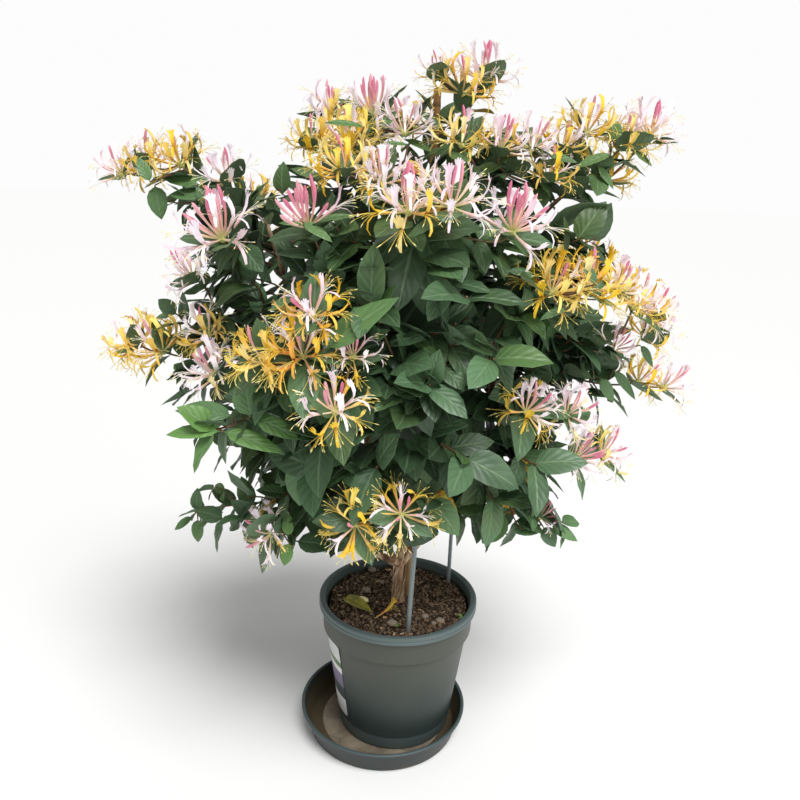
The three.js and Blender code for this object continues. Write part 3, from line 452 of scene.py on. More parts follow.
# ---- Small shapes that are stamped many times ----

# The channels of their state that a copy may change: for leaves, for flowers, and for crumbs and chips.
YOUNG, DYING, TONE = 0, 2, 3
AGE, ALONG, PART = 0, 1, 2
DRY, PERLITE, PEEL = 0, 2, 2


def new_state(bm):
    """The layer in which a stamped shape keeps what its material reads."""
    return bm.verts.layers.float_color.new("state")


def paint(verts, state, values):
    for vert in verts:
        vert[state] = values


def verts_of(geom):
    return [g for g in geom if isinstance(g, bmesh.types.BMVert)]


def extended(bm, edges):
    """Extrude open edges. Returns the new vertices and the new edges between them."""
    out = bmesh.ops.extrude_edge_only(bm, edges=edges)["geom"]
    verts = verts_of(out)
    return verts, [g for g in out if isinstance(g, bmesh.types.BMEdge) and all(v in verts for v in g.verts)]


def mesh_from(bm, name):
    mesh = bpy.data.meshes.new(name)
    bm.to_mesh(mesh)
    bm.free()
    return mesh


def kept_mesh(bm, name):
    """A small shape, ready to be stamped."""
    bmesh.ops.recalc_face_normals(bm, faces=bm.faces[:])
    return mesh_from(bm, name)


def new_object(name, data):
    made = bpy.data.objects.new(name, data)
    bpy.context.scene.collection.objects.link(made)
    return made


def leaf_template(droop, fold, wave, thick=0.006):
    """A leaf one unit long and half a unit wide, its tip towards +Y and its face up.

    Its state holds: young, 1 for the underside, yellowing, and how light its green is. All but the second are
    set for each leaf.
    """
    rows = ((0, 0.05), (0.05, 0.09), (0.14, 0.64), (0.3, 0.96), (0.5, 0.98), (0.7, 0.78), (0.86, 0.44), (1, 0.0))
    widest = 0.25
    bm = bmesh.new()
    bm.loops.layers.uv.new("leaf")
    bmesh.ops.create_grid(bm, x_segments=4, y_segments=len(rows) - 1, size=0.5, calc_uvs=True)
    for vert in bm.verts:
        across = vert.co.x * 2
        along, share = rows[round((vert.co.y + 0.5) * (len(rows) - 1))]
        half = widest * share * abs(across)
        twist = wave * math.copysign(1, across) * math.cos(math.pi * (along - 0.36) / 0.34)
        frill = 0.012 * abs(across) ** 2 * math.sin(along * 23 + across * 2) * share
        puff = 0.03 * share * math.sin(math.pi * abs(across))
        vert.co = (widest * share * across, along, half * (fold - twist) - droop * along**2 + frill + puff)
    bmesh.ops.remove_doubles(bm, verts=bm.verts[:], dist=1e-4)
    state = new_state(bm)
    paint(bm.verts, state, (0, 0, 0, 1))
    made = bmesh.ops.solidify(bm, geom=bm.faces[:], thickness=thick)
    paint(verts_of(made["geom"]), state, (0, 1, 0, 1))
    return kept_mesh(bm, "leaf")


def new_rod(bm, places, radii, sides=3):
    """A thin rod through places. Returns its rings of new vertices."""
    turn = (places[1] - places[0]).normalized().to_track_quat("Z", "X").to_matrix().to_4x4()
    made = bmesh.ops.create_circle(bm, cap_ends=True, segments=sides, radius=radii[0],
                                   matrix=Matrix.Translation(places[0]) @ turn)
    rings = [made["verts"]]
    face = next(f for f in rings[0][0].link_faces if len(f.verts) == sides)
    for i in range(1, len(places)):
        out = bmesh.ops.extrude_face_region(bm, geom=[face])["geom"]
        face = next(g for g in out if isinstance(g, bmesh.types.BMFace))
        rings.append(verts_of(out))
        share = radii[i] / max(radii[i - 1], 1e-9)
        bmesh.ops.scale(bm, verts=rings[i], vec=(share,) * 3, space=Matrix.Translation(-places[i - 1]))
        bmesh.ops.translate(bm, verts=rings[i], vec=places[i] - places[i - 1])
    return rings


def bent(lean, z):
    """The middle of a flower's tube or a bud, which bends towards +X the higher it gets."""
    return Vector((lean * z * z / 0.045, 0, z))


# A flower's tube, as heights and radii, and the rows of its lower lip, as shares of its reach and half widths.
TUBE = ((0, 0.00095), (0.009, 0.0011), (0.018, 0.0015), (0.026, 0.0024))
LOWER_LIP = ((0.25, 0.0014), (0.5, 0.0015), (0.75, 0.0016), (1.0, 0.001))
# A stamen's rings: how far out, the radius, and the part that its material reads.
STAMEN = ((-0.1, 0.00027, 0.5), (0.42, 0.00023, 0.5), (0.88, 0.0002, 0.6), (1.0, 0.0006, 1), (1.09, 0.00015, 1))
# A bud's rings, as heights and radii.
BUD = ((0, 0.0009), (0.01, 0.0010), (0.02, 0.0012), (0.028, 0.0018), (0.034, 0.0022), (0.0385, 0.0017),
       (0.041, 0.0005))


def flower_template(lean, bend, wide, fan, draw):
    """An open flower: a slender tube, an upper lip with four lobes, a strap below, five stamens and a style.

    It grows towards +Z, with its upper lip towards +X. bend is how far the lips turn back, in radians.
    Its state holds: age (set for each flower), how far along, part (0 petal, 0.5 filament, 1 anther).
    """
    bm = bmesh.new()
    state = new_state(bm)
    ring = bmesh.ops.create_circle(bm, segments=6, radius=TUBE[0][1])["verts"]
    edges = list({e for v in ring for e in v.link_edges})
    paint(ring, state, (0, 0, 0, 0))
    for i, ((below, narrow), (above, broad)) in enumerate(zip(TUBE, TUBE[1:])):
        ring, edges = extended(bm, edges)
        share = broad / narrow
        bmesh.ops.scale(bm, verts=ring, vec=(share, share, 1), space=Matrix.Translation(-bent(lean, below)))
        bmesh.ops.translate(bm, verts=ring, vec=bent(lean, above) - bent(lean, below))
        paint(ring, state, (0, (i + 1) * 0.2, 0, 0))
    throat = bent(lean, TUBE[-1][0])
    upper = [e for e in edges if (e.verts[0].co + e.verts[1].co).x / 2 > throat.x - 0.0014]
    lower = [e for e in edges if e not in upper]
    grow_upper_lip(bm, state, upper, throat, bend, wide)
    grow_lip(bm, state, lower, throat, -1, 0.024, 0.6 * bend + 1.5, 1.0, LOWER_LIP)
    thicken(bm, 0.0002)
    for k in range(6):
        style = k == 5
        aside = draw(-0.1, 0.1) if style else (k - 2) * fan * draw(0.8, 1.2)
        sag = draw(-0.35, 0.0) * (0.6 + 0.5 * bend)
        reach = 0.03 if style else draw(0.021, 0.026)
        places = [throat + Vector((sag * t * t, aside * t * (0.6 + 0.4 * t), t - 0.15 * t * t)) * reach
                  for t, _, _ in STAMEN]
        rings = new_rod(bm, places, [radius for _, radius, _ in STAMEN])
        for ring, (_, _, part) in zip(rings, STAMEN):
            paint(ring, state, (0, 0.8, part, 0))
    return kept_mesh(bm, "flower")


def thicken(bm, depth):
    """Give an open sheet its second face, joined at the rim."""
    bm.normal_update()
    inwards = {vert.co.to_tuple(): vert.normal * -depth for vert in bm.verts}
    for vert in verts_of(bmesh.ops.extrude_face_region(bm, geom=bm.faces[:], use_keep_orig=True)["geom"]):
        vert.co += inwards[vert.co.to_tuple()]


def new_row(bm, edges):
    """The next row of a petal: its new vertices from side to side, and its new edges."""
    row, edges = extended(bm, edges)
    middle = sum(v.co.x for v in row) / len(row)
    row.sort(key=lambda v: v.co.y - 0.1 * (v.co.x - middle) * math.copysign(1, v.co.y))
    return row, edges


def on_arc(throat, way, reach, bend, share, early):
    """A place on a lip that turns towards way (+1 or -1 along X), and the way that its face looks there.

    The lip does all its bending over the first part of its reach, early, and runs straight from there.
    """
    angle = bend * min(share / early, 1)
    radius = reach * early / bend
    straight = reach * max(share - early, 0)
    aside = 0.002 + radius * (1 - math.cos(angle)) + straight * math.sin(angle)
    ahead = radius * math.sin(angle) + straight * math.cos(angle)
    inward = Vector((-way * math.cos(angle), 0, math.sin(angle)))
    return throat + Vector((way * aside, 0, ahead)), inward


def grow_lip(bm, state, edges, throat, way, reach, bend, early, rows):
    """A strap along an arc, cupped across. rows: share of the reach, half width. Returns its last edges."""
    for share, half in rows:
        row, edges = new_row(bm, edges)
        place, inward = on_arc(throat, way, reach, bend, share, early)
        for i, vert in enumerate(row):
            across = 2 * i / (len(row) - 1) - 1
            vert.co = place + Vector((0, half * across, 0)) + inward * half * 0.5 * across**2
        paint(row, state, (0, 0.6 + 0.4 * share, 0, 0))
    return edges


def grow_upper_lip(bm, state, edges, throat, bend, wide):
    """A strap that widens, turns back and ends in four short lobes."""
    reach, early = 0.025, 0.4
    rows = ((0.16, 0.0024 * wide), (early, 0.0029 * wide), (0.72, 0.0031 * wide))
    edges = grow_lip(bm, state, edges, throat, 1, reach, bend, early, rows)
    for i, edge in enumerate(sorted(edges, key=lambda e: e.verts[0].co.y + e.verts[1].co.y)):
        across = (i - 1.5) / 1.5
        long = 1.0 - 0.1 * abs(across)
        for share, half in ((0.88, 0.00105 * wide), (long + 0.04, 0.00065 * wide)):
            row, (edge,) = new_row(bm, [edge])
            place, inward = on_arc(throat, 1, reach, bend * 1.1, share, early)
            for sign, vert in zip((-1, 1), row):
                aside = (0.0029 + 0.0022 * (share - 0.7)) * wide * across + half * sign
                vert.co = place + Vector((0, aside, 0)) + inward * 0.0012 * across**2
            paint(row, state, (0, 1, 0, 0))


def bud_template(lean):
    """A slender club that bends towards +X."""
    bm = bmesh.new()
    state = new_state(bm)
    rings = new_rod(bm, [bent(lean, z) for z, _ in BUD], [radius for _, radius in BUD], 5)
    for ring, (z, _) in zip(rings, BUD):
        paint(ring, state, (0, z / 0.041, 0, 0))
    return kept_mesh(bm, "bud")


def lump_template(seed, flat, rounds=1):
    """An uneven lump one unit across."""
    bm = bmesh.new()
    bmesh.ops.create_icosphere(bm, subdivisions=rounds, radius=0.5)
    draw = draws(seed)
    for vert in bm.verts:
        vert.co *= draw(0.72, 1.15)
        vert.co.z *= flat
    paint(bm.verts, new_state(bm), (0, 0, 0, 1))
    return kept_mesh(bm, "lump")


class Stamps:
    """Copies of small meshes gathered into one mesh."""

    def __init__(self):
        self.bm = bmesh.new()
        self.states = {}

    def add(self, template, matrix, changes=None, material=0):
        """changes maps a channel of the state to its value over this copy."""
        copy = template.copy()
        copy.transform(matrix)
        if changes:
            if template.name not in self.states:
                state = np.empty(len(copy.vertices) * 4, dtype=np.float32)
                template.attributes["state"].data.foreach_get("color", state)
                self.states[template.name] = state
            state = self.states[template.name].copy()
            for channel, value in changes.items():
                state[channel::4] = value
            copy.attributes["state"].data.foreach_set("color", state)
        if material:
            copy.polygons.foreach_set("material_index", [material] * len(copy.polygons))
        self.bm.from_mesh(copy)
        bpy.data.meshes.remove(copy)

    def add_rods(self, rods, sides=6, material=0):
        """Round rods, each a list of (place, radius)."""
        mesh = rods_mesh(rods, sides)
        mesh.polygons.foreach_set("material_index", [material] * len(mesh.polygons))
        self.bm.from_mesh(mesh)
        bpy.data.meshes.remove(mesh)


def rods_mesh(rods, sides):
    """Curves with a round bevel, made into one closed mesh each."""
    curve = bpy.data.curves.new("rods", "CURVE")
    curve.dimensions = "3D"
    curve.bevel_depth = 1.0
    curve.bevel_resolution = (sides - 4) // 2
    curve.use_fill_caps = True
    curve.twist_mode = "MINIMUM"
    for rod in rods:
        spline = curve.splines.new("POLY")
        spline.points.add(len(rod) - 1)
        for point, (place, radius) in zip(spline.points, rod):
            point.co = (*place, 1)
            point.radius = radius
    holder = new_object("rods", curve)
    mesh = bpy.data.meshes.new_from_object(holder.evaluated_get(bpy.context.evaluated_depsgraph_get()))
    bpy.data.objects.remove(holder)
    bpy.data.curves.remove(curve)
    mesh.materials.clear()
    bm = bmesh.new()
    bm.from_mesh(mesh)
    bmesh.ops.remove_doubles(bm, verts=bm.verts[:], dist=1e-6)
    bm.to_mesh(mesh)
    bm.free()
    return mesh


def stem_rod(shoot, low, high):
    """Places and radii along a shoot's stem."""
    step = 0.014
    count = max(3, round(shoot.length / step))
    return [(shoot.point(i / count), low + (high - low) * i / count) for i in range(count + 1)]


def add_piece(name, bm, materials, replaces=(), sharp=60):
    """The finished piece, shown in place of the nodes that it replaces."""
    mesh = mesh_from(bm, name)
    for material in materials:
        mesh.materials.append(material)
    mesh.polygons.foreach_set("use_smooth", [True] * len(mesh.polygons))
    mesh.set_sharp_from_angle(angle=math.radians(sharp))
    piece = new_object(name, mesh)
    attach(piece, "root")
    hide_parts(*replaces)


def spun(outline, steps, centre=(0, 0)):
    """An outline of (radius, height) from axis to axis, turned about a vertical axis."""
    bm = bmesh.new()
    verts = [bm.verts.new((radius, 0, height)) for radius, height in outline]
    for a, b in zip(verts, verts[1:]):
        bm.edges.new((a, b))
    bmesh.ops.spin(bm, geom=bm.verts[:] + bm.edges[:], cent=(0, 0, 0), axis=(0, 0, 1), angle=math.tau,
                   steps=steps, use_merge=True)
    bmesh.ops.remove_doubles(bm, verts=bm.verts[:], dist=1e-6)
    bmesh.ops.translate(bm, verts=bm.verts[:], vec=(*centre, 0))
    bmesh.ops.recalc_face_normals(bm, faces=bm.faces[:])
    return bm


# ---- Materials ----

class Value:
    """A number or a colour in a material. Arithmetic on it adds Math nodes."""

    def __init__(self, shader, socket):
        self.shader = shader
        self.socket = socket

    def math(self, operation, *others, clamp=False):
        settings = {"operation": operation, "use_clamp": clamp}
        return self.shader.node("ShaderNodeMath", settings, dict(enumerate((self, *others))))

    def __add__(self, other):
        return self.math("ADD", other)

    def __sub__(self, other):
        return self.math("SUBTRACT", other)

    def __rsub__(self, other):
        return self.shader.node("ShaderNodeMath", {"operation": "SUBTRACT"}, {0: other, 1: self})

    def __mul__(self, other):
        return self.math("MULTIPLY", other)

    def __truediv__(self, other):
        return self.math("DIVIDE", other)

    __radd__ = __add__
    __rmul__ = __mul__

    def clamped(self):
        return self.math("ADD", 0.0, clamp=True)

    def step(self, low, high):
        """0 below low, 1 above high, smooth between them."""
        return self.shader.node("ShaderNodeMapRange", {"interpolation_type": "SMOOTHSTEP"},
                                {"Value": self, "From Min": low, "From Max": high})

    def mix(self, first, second):
        """Between two colours, with this number as the share of the second."""
        return self.shader.node("ShaderNodeMix", {"data_type": "RGBA"}, {0: self, 6: first, 7: second}, 2)

    def tinted(self, factor):
        """This colour multiplied by another."""
        return self.shader.node("ShaderNodeMix", {"data_type": "RGBA", "blend_type": "MULTIPLY"},
                                {0: 1.0, 6: self, 7: factor}, 2)

    def ramp(self, stops):
        return self.shader.node("ShaderNodeValToRGB", {"stops": stops}, {"Fac": self})


class Shader:
    """A material's nodes."""

    def __init__(self, name):
        self.material = bpy.data.materials.new(name)
        self.material.use_nodes = True
        self.tree = self.material.node_tree
        self.tree.nodes.clear()

    def node(self, kind, settings=None, inputs=None, output=0):
        """A new node with its settings, then the values or links of its sockets. Returns one output, if any."""
        made = self.tree.nodes.new(kind)
        for key, value in (settings or {}).items():
            if key == "stops":
                ramp = made.color_ramp
                while len(ramp.elements) < len(value):
                    ramp.elements.new(0.5)
                for element, (place, colour) in zip(ramp.elements, value):
                    element.position = place
                    element.color = (*colour, 1)
            else:
                setattr(made, key, value)
        for key, value in (inputs or {}).items():
            socket = made.inputs[key]
            if isinstance(value, Value):
                self.tree.links.new(value.socket, socket)
            elif socket.type == "RGBA":
                socket.default_value = (*value, 1) if len(value) == 3 else value
            else:
                socket.default_value = value
        return None if output is None else Value(self, made.outputs[output])

    def place(self, scale=(1, 1, 1)):
        """Where a point of the piece is, scaled along each axis."""
        spot = self.node("ShaderNodeTexCoord", output="Object")
        return self.node("ShaderNodeMapping", None, {"Vector": spot, "Scale": scale})

    def noise(self, scale, detail=3.0, where=None, rough=0.55):
        inputs = {"Vector": where or self.place(), "Scale": scale, "Detail": detail, "Roughness": rough}
        return self.node("ShaderNodeTexNoise", None, inputs)

    def cells(self, scale, where=None, feature="F1"):
        inputs = {"Vector": where or self.place(), "Scale": scale}
        return self.node("ShaderNodeTexVoronoi", {"feature": feature}, inputs)

    def parts(self, kind, source):
        """What comes out of a node that takes a colour or a place apart."""
        made = self.node(kind, None, {0: source}).socket.node
        return [Value(self, output) for output in made.outputs]

    def height_of_place(self):
        return self.parts("ShaderNodeSeparateXYZ", self.node("ShaderNodeTexCoord", output="Object"))[2]

    def state(self):
        """The four channels of the state attribute."""
        read = self.node("ShaderNodeAttribute", {"attribute_name": "state"}, output="Color")
        return [*self.parts("ShaderNodeSeparateColor", read), Value(self, read.socket.node.outputs["Alpha"])]

    def uv(self, name):
        return self.parts("ShaderNodeSeparateXYZ", self.node("ShaderNodeUVMap", {"uv_map": name}))[:2]

    def bump(self, height, strength, distance):
        return self.node("ShaderNodeBump", None, {"Strength": strength, "Distance": distance, "Height": height})

    def finish(self, colour, roughness, normal=None, **others):
        """The surface. others are more sockets of the shader, with _ for each space of their names."""
        inputs = {"Base Color": colour, "Roughness": roughness}
        if normal:
            inputs["Normal"] = normal
        inputs.update({key.replace("_", " "): value for key, value in others.items()})
        surface = self.node("ShaderNodeBsdfPrincipled", None, inputs)
        self.node("ShaderNodeOutputMaterial", None, {"Surface": surface}, None)
        return self.material


def rgb(red, green, blue):
    """A colour as it looks on a screen, out of 255, as the numbers that Blender mixes."""
    parts = [value / 255 for value in (red, green, blue)]
    return tuple(p / 12.92 if p <= 0.04045 else ((p + 0.055) / 1.055) ** 2.4 for p in parts)


def covered(base, *layers):
    """A colour under layers, each of them a share and a colour of its own."""
    for share, shade in layers:
        base = share.mix(base, shade)
    return base


def plastic_material(name, pot, faded_from, faded_to, rim_from, dust_to, painted_light_to=0.0, painted_shade_factor=1.0):
    """Matt dark plastic with fine scuffs, faded higher up, bluish at the rim and dusty at the foot. Low down it is
    lightened towards the rim's colour: painted light on a wall that lies in shade.
    """
    shader = Shader(name)
    height = shader.height_of_place()
    streaks = shader.noise(9, 5, shader.place((1, 1, 0.18)))
    blotch = shader.noise(16, 4)
    fine = shader.noise(420, 2)
    dust = (1 - height.step(dust_to * 0.3, dust_to)) * blotch.step(0.35, 0.7) * 0.7
    dust = (dust + streaks.step(0.58, 0.8) * 0.2 + fine.step(0.68, 0.75) * 0.25).clamped()
    faded = (height + (blotch - 0.5) * 0.06).step(faded_from, faded_to)
    shade = covered(faded.mix(pot.plastic, pot.faded),
                    (height.step(rim_from - 0.001, rim_from + 0.002) * 0.65, pot.rim_and_foot_light),
                    # Painted light: below the given height the plastic is lightened towards the rim's bluish
                    # colour, where the saucer's wall shades it.
                    ((1 - height.step(painted_light_to - 0.002, painted_light_to + 0.005)) * 0.6, pot.rim_and_foot_light),
                    (dust, pot.dust))
    roughness = 0.42 + dust * 0.35 + fine * 0.08
    relief = shader.bump(fine + streaks * 0.6, 0.12, 0.0006)
    # The last factor darkens the whole colour: painted shade, used for the saucer.
    return shader.finish(shade.tinted((painted_shade_factor, painted_shade_factor, painted_shade_factor, 1)), roughness, relief, Specular_IOR_Level=0.45)


def saucer_floor_material(name, plastic):
    """Dried mud and dust on plastic, cracked on the floor and darker up the wall."""
    shader = Shader(name)
    blotch = shader.noise(18, 5)
    fine = shader.noise(150, 4)
    warp = shader.noise(12, 2, shader.place((1, 2.2, 1))) * 0.03
    cracks = shader.cells(22, shader.place((0.8, 1.25, 0.1)), "DISTANCE_TO_EDGE") + warp
    line = 1 - cracks.step(0.012, 0.03)
    shade = covered(blotch.ramp(((0.3, rgb(92, 83, 70)), (0.52, rgb(126, 115, 99)), (0.7, rgb(146, 135, 118)))),
                    (blotch.step(0.6, 0.74) * fine.step(0.4, 0.6) * 0.5, plastic),
                    (line * 0.75, rgb(64, 55, 46)),
                    (shader.state()[0], blotch.mix(rgb(58, 52, 38), rgb(86, 76, 56))),
                    (shader.height_of_place().step(0.02, 0.036) * 0.6, plastic))
    return shader.finish(shade, 0.9, shader.bump(fine - line * 0.4, 0.4, 0.001), Specular_IOR_Level=0.2)


def soil_material(name):
    """Dark damp soil with paler grains. Its state turns a crumb to dry wood, or to perlite."""
    shader = Shader(name)
    dry, _, perlite, _ = shader.state()
    grain = shader.noise(210, 6)
    clods = shader.cells(150)
    shade = covered(shader.noise(22, 3).mix(rgb(36, 28, 22), rgb(82, 64, 50)),
                    (grain.step(0.45, 0.75), rgb(172, 148, 124)), (dry, rgb(158, 134, 110)),
                    (perlite, rgb(226, 218, 204)))
    return shader.finish(shade, 0.95, shader.bump(grain + clods * 0.8, 1.0, 0.003), Specular_IOR_Level=0.15)


def bark_material(name):
    """Brown bark in long strips, grey-tan where it peels."""
    shader = Shader(name)
    peel = shader.state()[2]
    strips = shader.noise(46, 6, shader.place((1, 1, 0.16)), 0.65)
    patches = shader.noise(30, 4)
    base = strips.ramp(((0.34, rgb(56, 40, 30)), (0.48, rgb(140, 106, 80)), (0.6, rgb(222, 194, 160))))
    shade = covered(base, (patches.step(0.5, 0.75) * 0.5, rgb(136, 100, 76)), (peel, rgb(204, 180, 150)))
    return shader.finish(shade, 0.9, shader.bump(strips + patches * 0.3, 0.8, 0.0015), Specular_IOR_Level=0.2)


def stem_material(name):
    """Young wood: reddish brown, greener in places."""
    shader = Shader(name)
    fine = shader.noise(300, 3)
    shade = covered(shader.noise(24, 3).step(0.35, 0.68).mix(rgb(112, 68, 52), rgb(104, 98, 58)),
                    (fine * 0.35, rgb(150, 112, 84)))
    return shader.finish(shade, 0.6, shader.bump(fine, 0.3, 0.0005))


def leaf_material(name, leaves):
    """Green with paler veins, paler below, light when young and yellow where it dies. Olive near the top of the
    plant: painted light from above.
    """
    shader = Shader(name)
    young, under, dying, tone = shader.state()
    across, along = shader.uv("leaf")
    off_middle = (across - 0.5).math("ABSOLUTE") * 2
    midrib = 1 - off_middle.step(0.03, 0.14)
    bow = off_middle - off_middle * off_middle * 0.35
    pairs, slant = 7.5, 2.9
    side = ((along * pairs - bow * slant).math("FRACT") - 0.5).math("ABSOLUTE") * 2
    side_vein = side.step(0.78, 1.0) * (1 - off_middle.step(0.86, 1.0))
    veins = (midrib + side_vein * 0.7).clamped()
    mottle = shader.noise(75, 4)
    drift = shader.noise(9, 2)
    # tone is set for each leaf. Its darker ranges for leaves deep in the plant are painted shade; within a range it
    # is random.
    light = (tone * 0.8 + drift.step(0.35, 0.65) * 0.3 + (mottle - 0.5) * 0.25).clamped()
    gone = (dying * 1.6 - mottle * 0.6).step(0.05, 0.7)
    shade = covered(light.mix(leaves.dark, leaves.mature),
                    (shader.noise(7, 2).step(0.52, 0.68) * 0.45, leaves.olive_and_top_light),
                    # Painted light: leaves near the top of the plant turn olive, as if lit from above.
                    (shader.height_of_place().step(0.78, 1.0) * 0.4, leaves.olive_and_top_light),
                    (young, leaves.young),
                    (side_vein * 0.35 * (1 - young), leaves.dark),
                    (midrib * 0.35 + young * veins * 0.25, leaves.vein),
                    (under * 0.7, leaves.underside),
                    (gone, mottle.step(0.4, 0.65).mix(rgb(204, 180, 36), rgb(176, 84, 24))))
    pillow = (1 - side) * 0.6 + (1 - midrib) * 0.9 + mottle * 0.3
    roughness = 0.34 + mottle * 0.2 + under * 0.2
    return shader.finish(shade, roughness, shader.bump(pillow, 0.8, 0.0008), Specular_IOR_Level=0.5)


def petal_material(name, petals, warm):
    """Petals by age: magenta in bud, lilac white when open, then gold and at last orange.

    Newly open petals have a painted glow: a faint emission in their own colour that stands in for the light that
    passes through them.
    """
    shader = Shader(name)
    age, along, part, tone = shader.state()
    streak = shader.noise(120, 3)
    lip = age.ramp(((0.0, petals.bud), (0.22, petals.bud), (0.34, petals.fresh), (0.46, petals.fresh),
                    (0.62, petals.cream), (0.72, petals.gold), (0.86, petals.gold), (1.0, petals.orange)))
    tube = age.ramp(((0.0, rgb(224, 160, 152)), (0.34, rgb(230, 188, 182)), (0.62, rgb(240, 208, 112)),
                     (0.85, rgb(236, 168, 76)), (1.0, rgb(224, 124, 66))))
    thread = age.step(0.45, 0.65).mix(rgb(246, 240, 226), rgb(246, 216, 96))
    shade = covered(along.step(0.42, 0.72).mix(tube, lip),
                    (1 - along.step(0.0, 0.34), rgb(196, 196, 118)),
                    (streak.step(0.5, 0.8) * 0.3 * (1 - along.step(0.7, 1.0)), warm),
                    (tone * 0.35, rgb(255, 246, 226)),
                    (part.step(0.2, 0.4), thread),
                    (part.step(0.7, 0.9), rgb(240, 226, 150)))
    # Painted glow on the newly open petals: emission in their own colour.
    painted_glow = age.step(0.45, 0.8).mix(shade, rgb(0, 0, 0))
    return shader.finish(shade, 0.55, shader.bump(streak, 0.15, 0.0004), Specular_IOR_Level=0.3,
                         Emission_Color=painted_glow, Emission_Strength=0.16)


def band_material(name):
    """A plain printed sticker: white with fields of grey, violet-grey and green."""
    shader = Shader(name)
    worn = shader.noise(60, 4)
    scuffs = shader.noise(500, 2)
    stops = ((0.0, rgb(222, 222, 218)), (0.25, rgb(70, 76, 76)), (0.42, rgb(126, 116, 140)),
             (0.62, rgb(232, 232, 228)), (0.7, rgb(92, 118, 74)), (0.78, rgb(214, 216, 214)))
    foot, tall = 0.042, 0.144
    base = ((shader.height_of_place() - foot) / tall).clamped().ramp(stops)
    base.socket.node.color_ramp.interpolation = "CONSTANT"
    shade = (worn.step(0.55, 0.75) * 0.45).mix(base, rgb(176, 172, 160))
    return shader.finish(shade, 0.35 + scuffs * 0.2, shader.bump(worn, 0.15, 0.0004))


def cane_material(name):
    """Dry bamboo, with long fibres and darker joints."""
    shader = Shader(name)
    _, joint, cut, _ = shader.state()
    fibres = shader.noise(160, 4, shader.place((1, 1, 0.06)))
    shade = covered(fibres.mix(rgb(168, 118, 62), rgb(206, 160, 98)),
                    (shader.noise(20, 3).step(0.5, 0.75), rgb(146, 102, 58)),
                    ((1 - shader.height_of_place().step(0.3, 0.8)) * 0.6, rgb(150, 130, 90)),
                    (joint, rgb(112, 78, 46)), (cut, rgb(222, 178, 116)))
    return shader.finish(shade, 0.5, shader.bump(fibres, 0.3, 0.0006))


def coated_material(name):
    """Steel under a grey-green plastic coat."""
    shader = Shader(name)
    fine = shader.noise(220, 3, shader.place((1, 1, 0.2)))
    soiled = shader.state()[2]
    shade = covered(shader.noise(26, 3).mix(rgb(112, 124, 124), rgb(142, 152, 152)),
                    (fine.step(0.58, 0.8) * 0.3, rgb(168, 166, 154)), (soiled, rgb(94, 78, 62)))
    return shader.finish(shade, 0.45 + fine * 0.1, shader.bump(fine, 0.15, 0.0004))


def root_material(name):
    shader = Shader(name)
    return shader.finish(shader.noise(80, 3).mix(rgb(176, 140, 108), rgb(214, 186, 156)), 0.8)


def stone_material(name):
    shader = Shader(name)
    grain = shader.noise(170, 5)
    shade = covered(shader.noise(46, 3).mix(rgb(142, 126, 110), rgb(182, 166, 148)),
                    (grain.step(0.5, 0.75), rgb(116, 102, 90)))
    return shader.finish(shade, 0.85, shader.bump(grain, 0.5, 0.001))


def sprout_material(name):
    shader = Shader(name)
    grain = shader.noise(120, 3)
    shade = grain.mix(rgb(96, 140, 60), rgb(140, 180, 86))
    return shader.finish(shade, 0.55, shader.bump(grain, 0.2, 0.0004))


# ---- Settings ----

def amount(name, description, default, least=0, **limits):
    return FloatProperty(name=name, description=description, default=default, min=least, **limits)


def length(name, description, default):
    return amount(name, description, default, 0.0001, unit="LENGTH", precision=4)


def colour(name, description, default):
    return FloatVectorProperty(name=name, description=description, default=default, size=3, min=0, max=1,
                               subtype="COLOR")


class PotSettings(bpy.types.PropertyGroup):
    rim: length("Rim radius", "Outer radius of the pot's rolled rim", (POT_HIGH.x - POT_LOW.x) / 2)
    foot: length("Foot radius", "Outer radius of the pot's foot", 0.0964)
    top: length("Rim height", "Height of the top of the pot's rim", POT_HIGH.z)
    bottom: length("Foot height", "Height of the pot's underside, on the saucer's floor", POT_LOW.z)
    lip: length("Rim depth", "How far the rolled rim reaches down", 0.014)
    collar: length("Collar depth", "How far below the top the collar ends", 0.057)
    saucer_rim: length("Saucer radius", "Outer radius of the saucer's rim", (SAUCER_HIGH.x - SAUCER_LOW.x) / 2)
    saucer_top: length("Saucer height", "Height of the saucer's rim", SAUCER_HIGH.z)
    plastic: colour("Plastic", "Colour of the pot and the saucer", rgb(46, 56, 54))
    faded: colour("Faded plastic", "Colour of the plastic where light and water fade it", rgb(72, 76, 68))
    # This colour is also the painted light on the pot's lower wall.
    rim_and_foot_light: colour("Rim", "Colour of the pot's and the saucer's rims", rgb(98, 117, 119))
    dust: colour("Dust", "Colour of the dust on the plastic", rgb(118, 106, 86))


class WoodSettings(bpy.types.PropertyGroup):
    strand: length("Strand radius", "Radius of each strand of the trunk", 0.0066)
    limb_base: length("Limb radius", "Radius of a limb where it leaves the trunk", 0.007)
    limb_end: length("Limb end radius", "Radius of a limb at its end", 0.0034)
    stem: length("Stem radius", "Radius of a leafy stem at its foot", 0.0021)
    cane: length("Cane radius", "Radius of the bamboo cane", 0.0056)


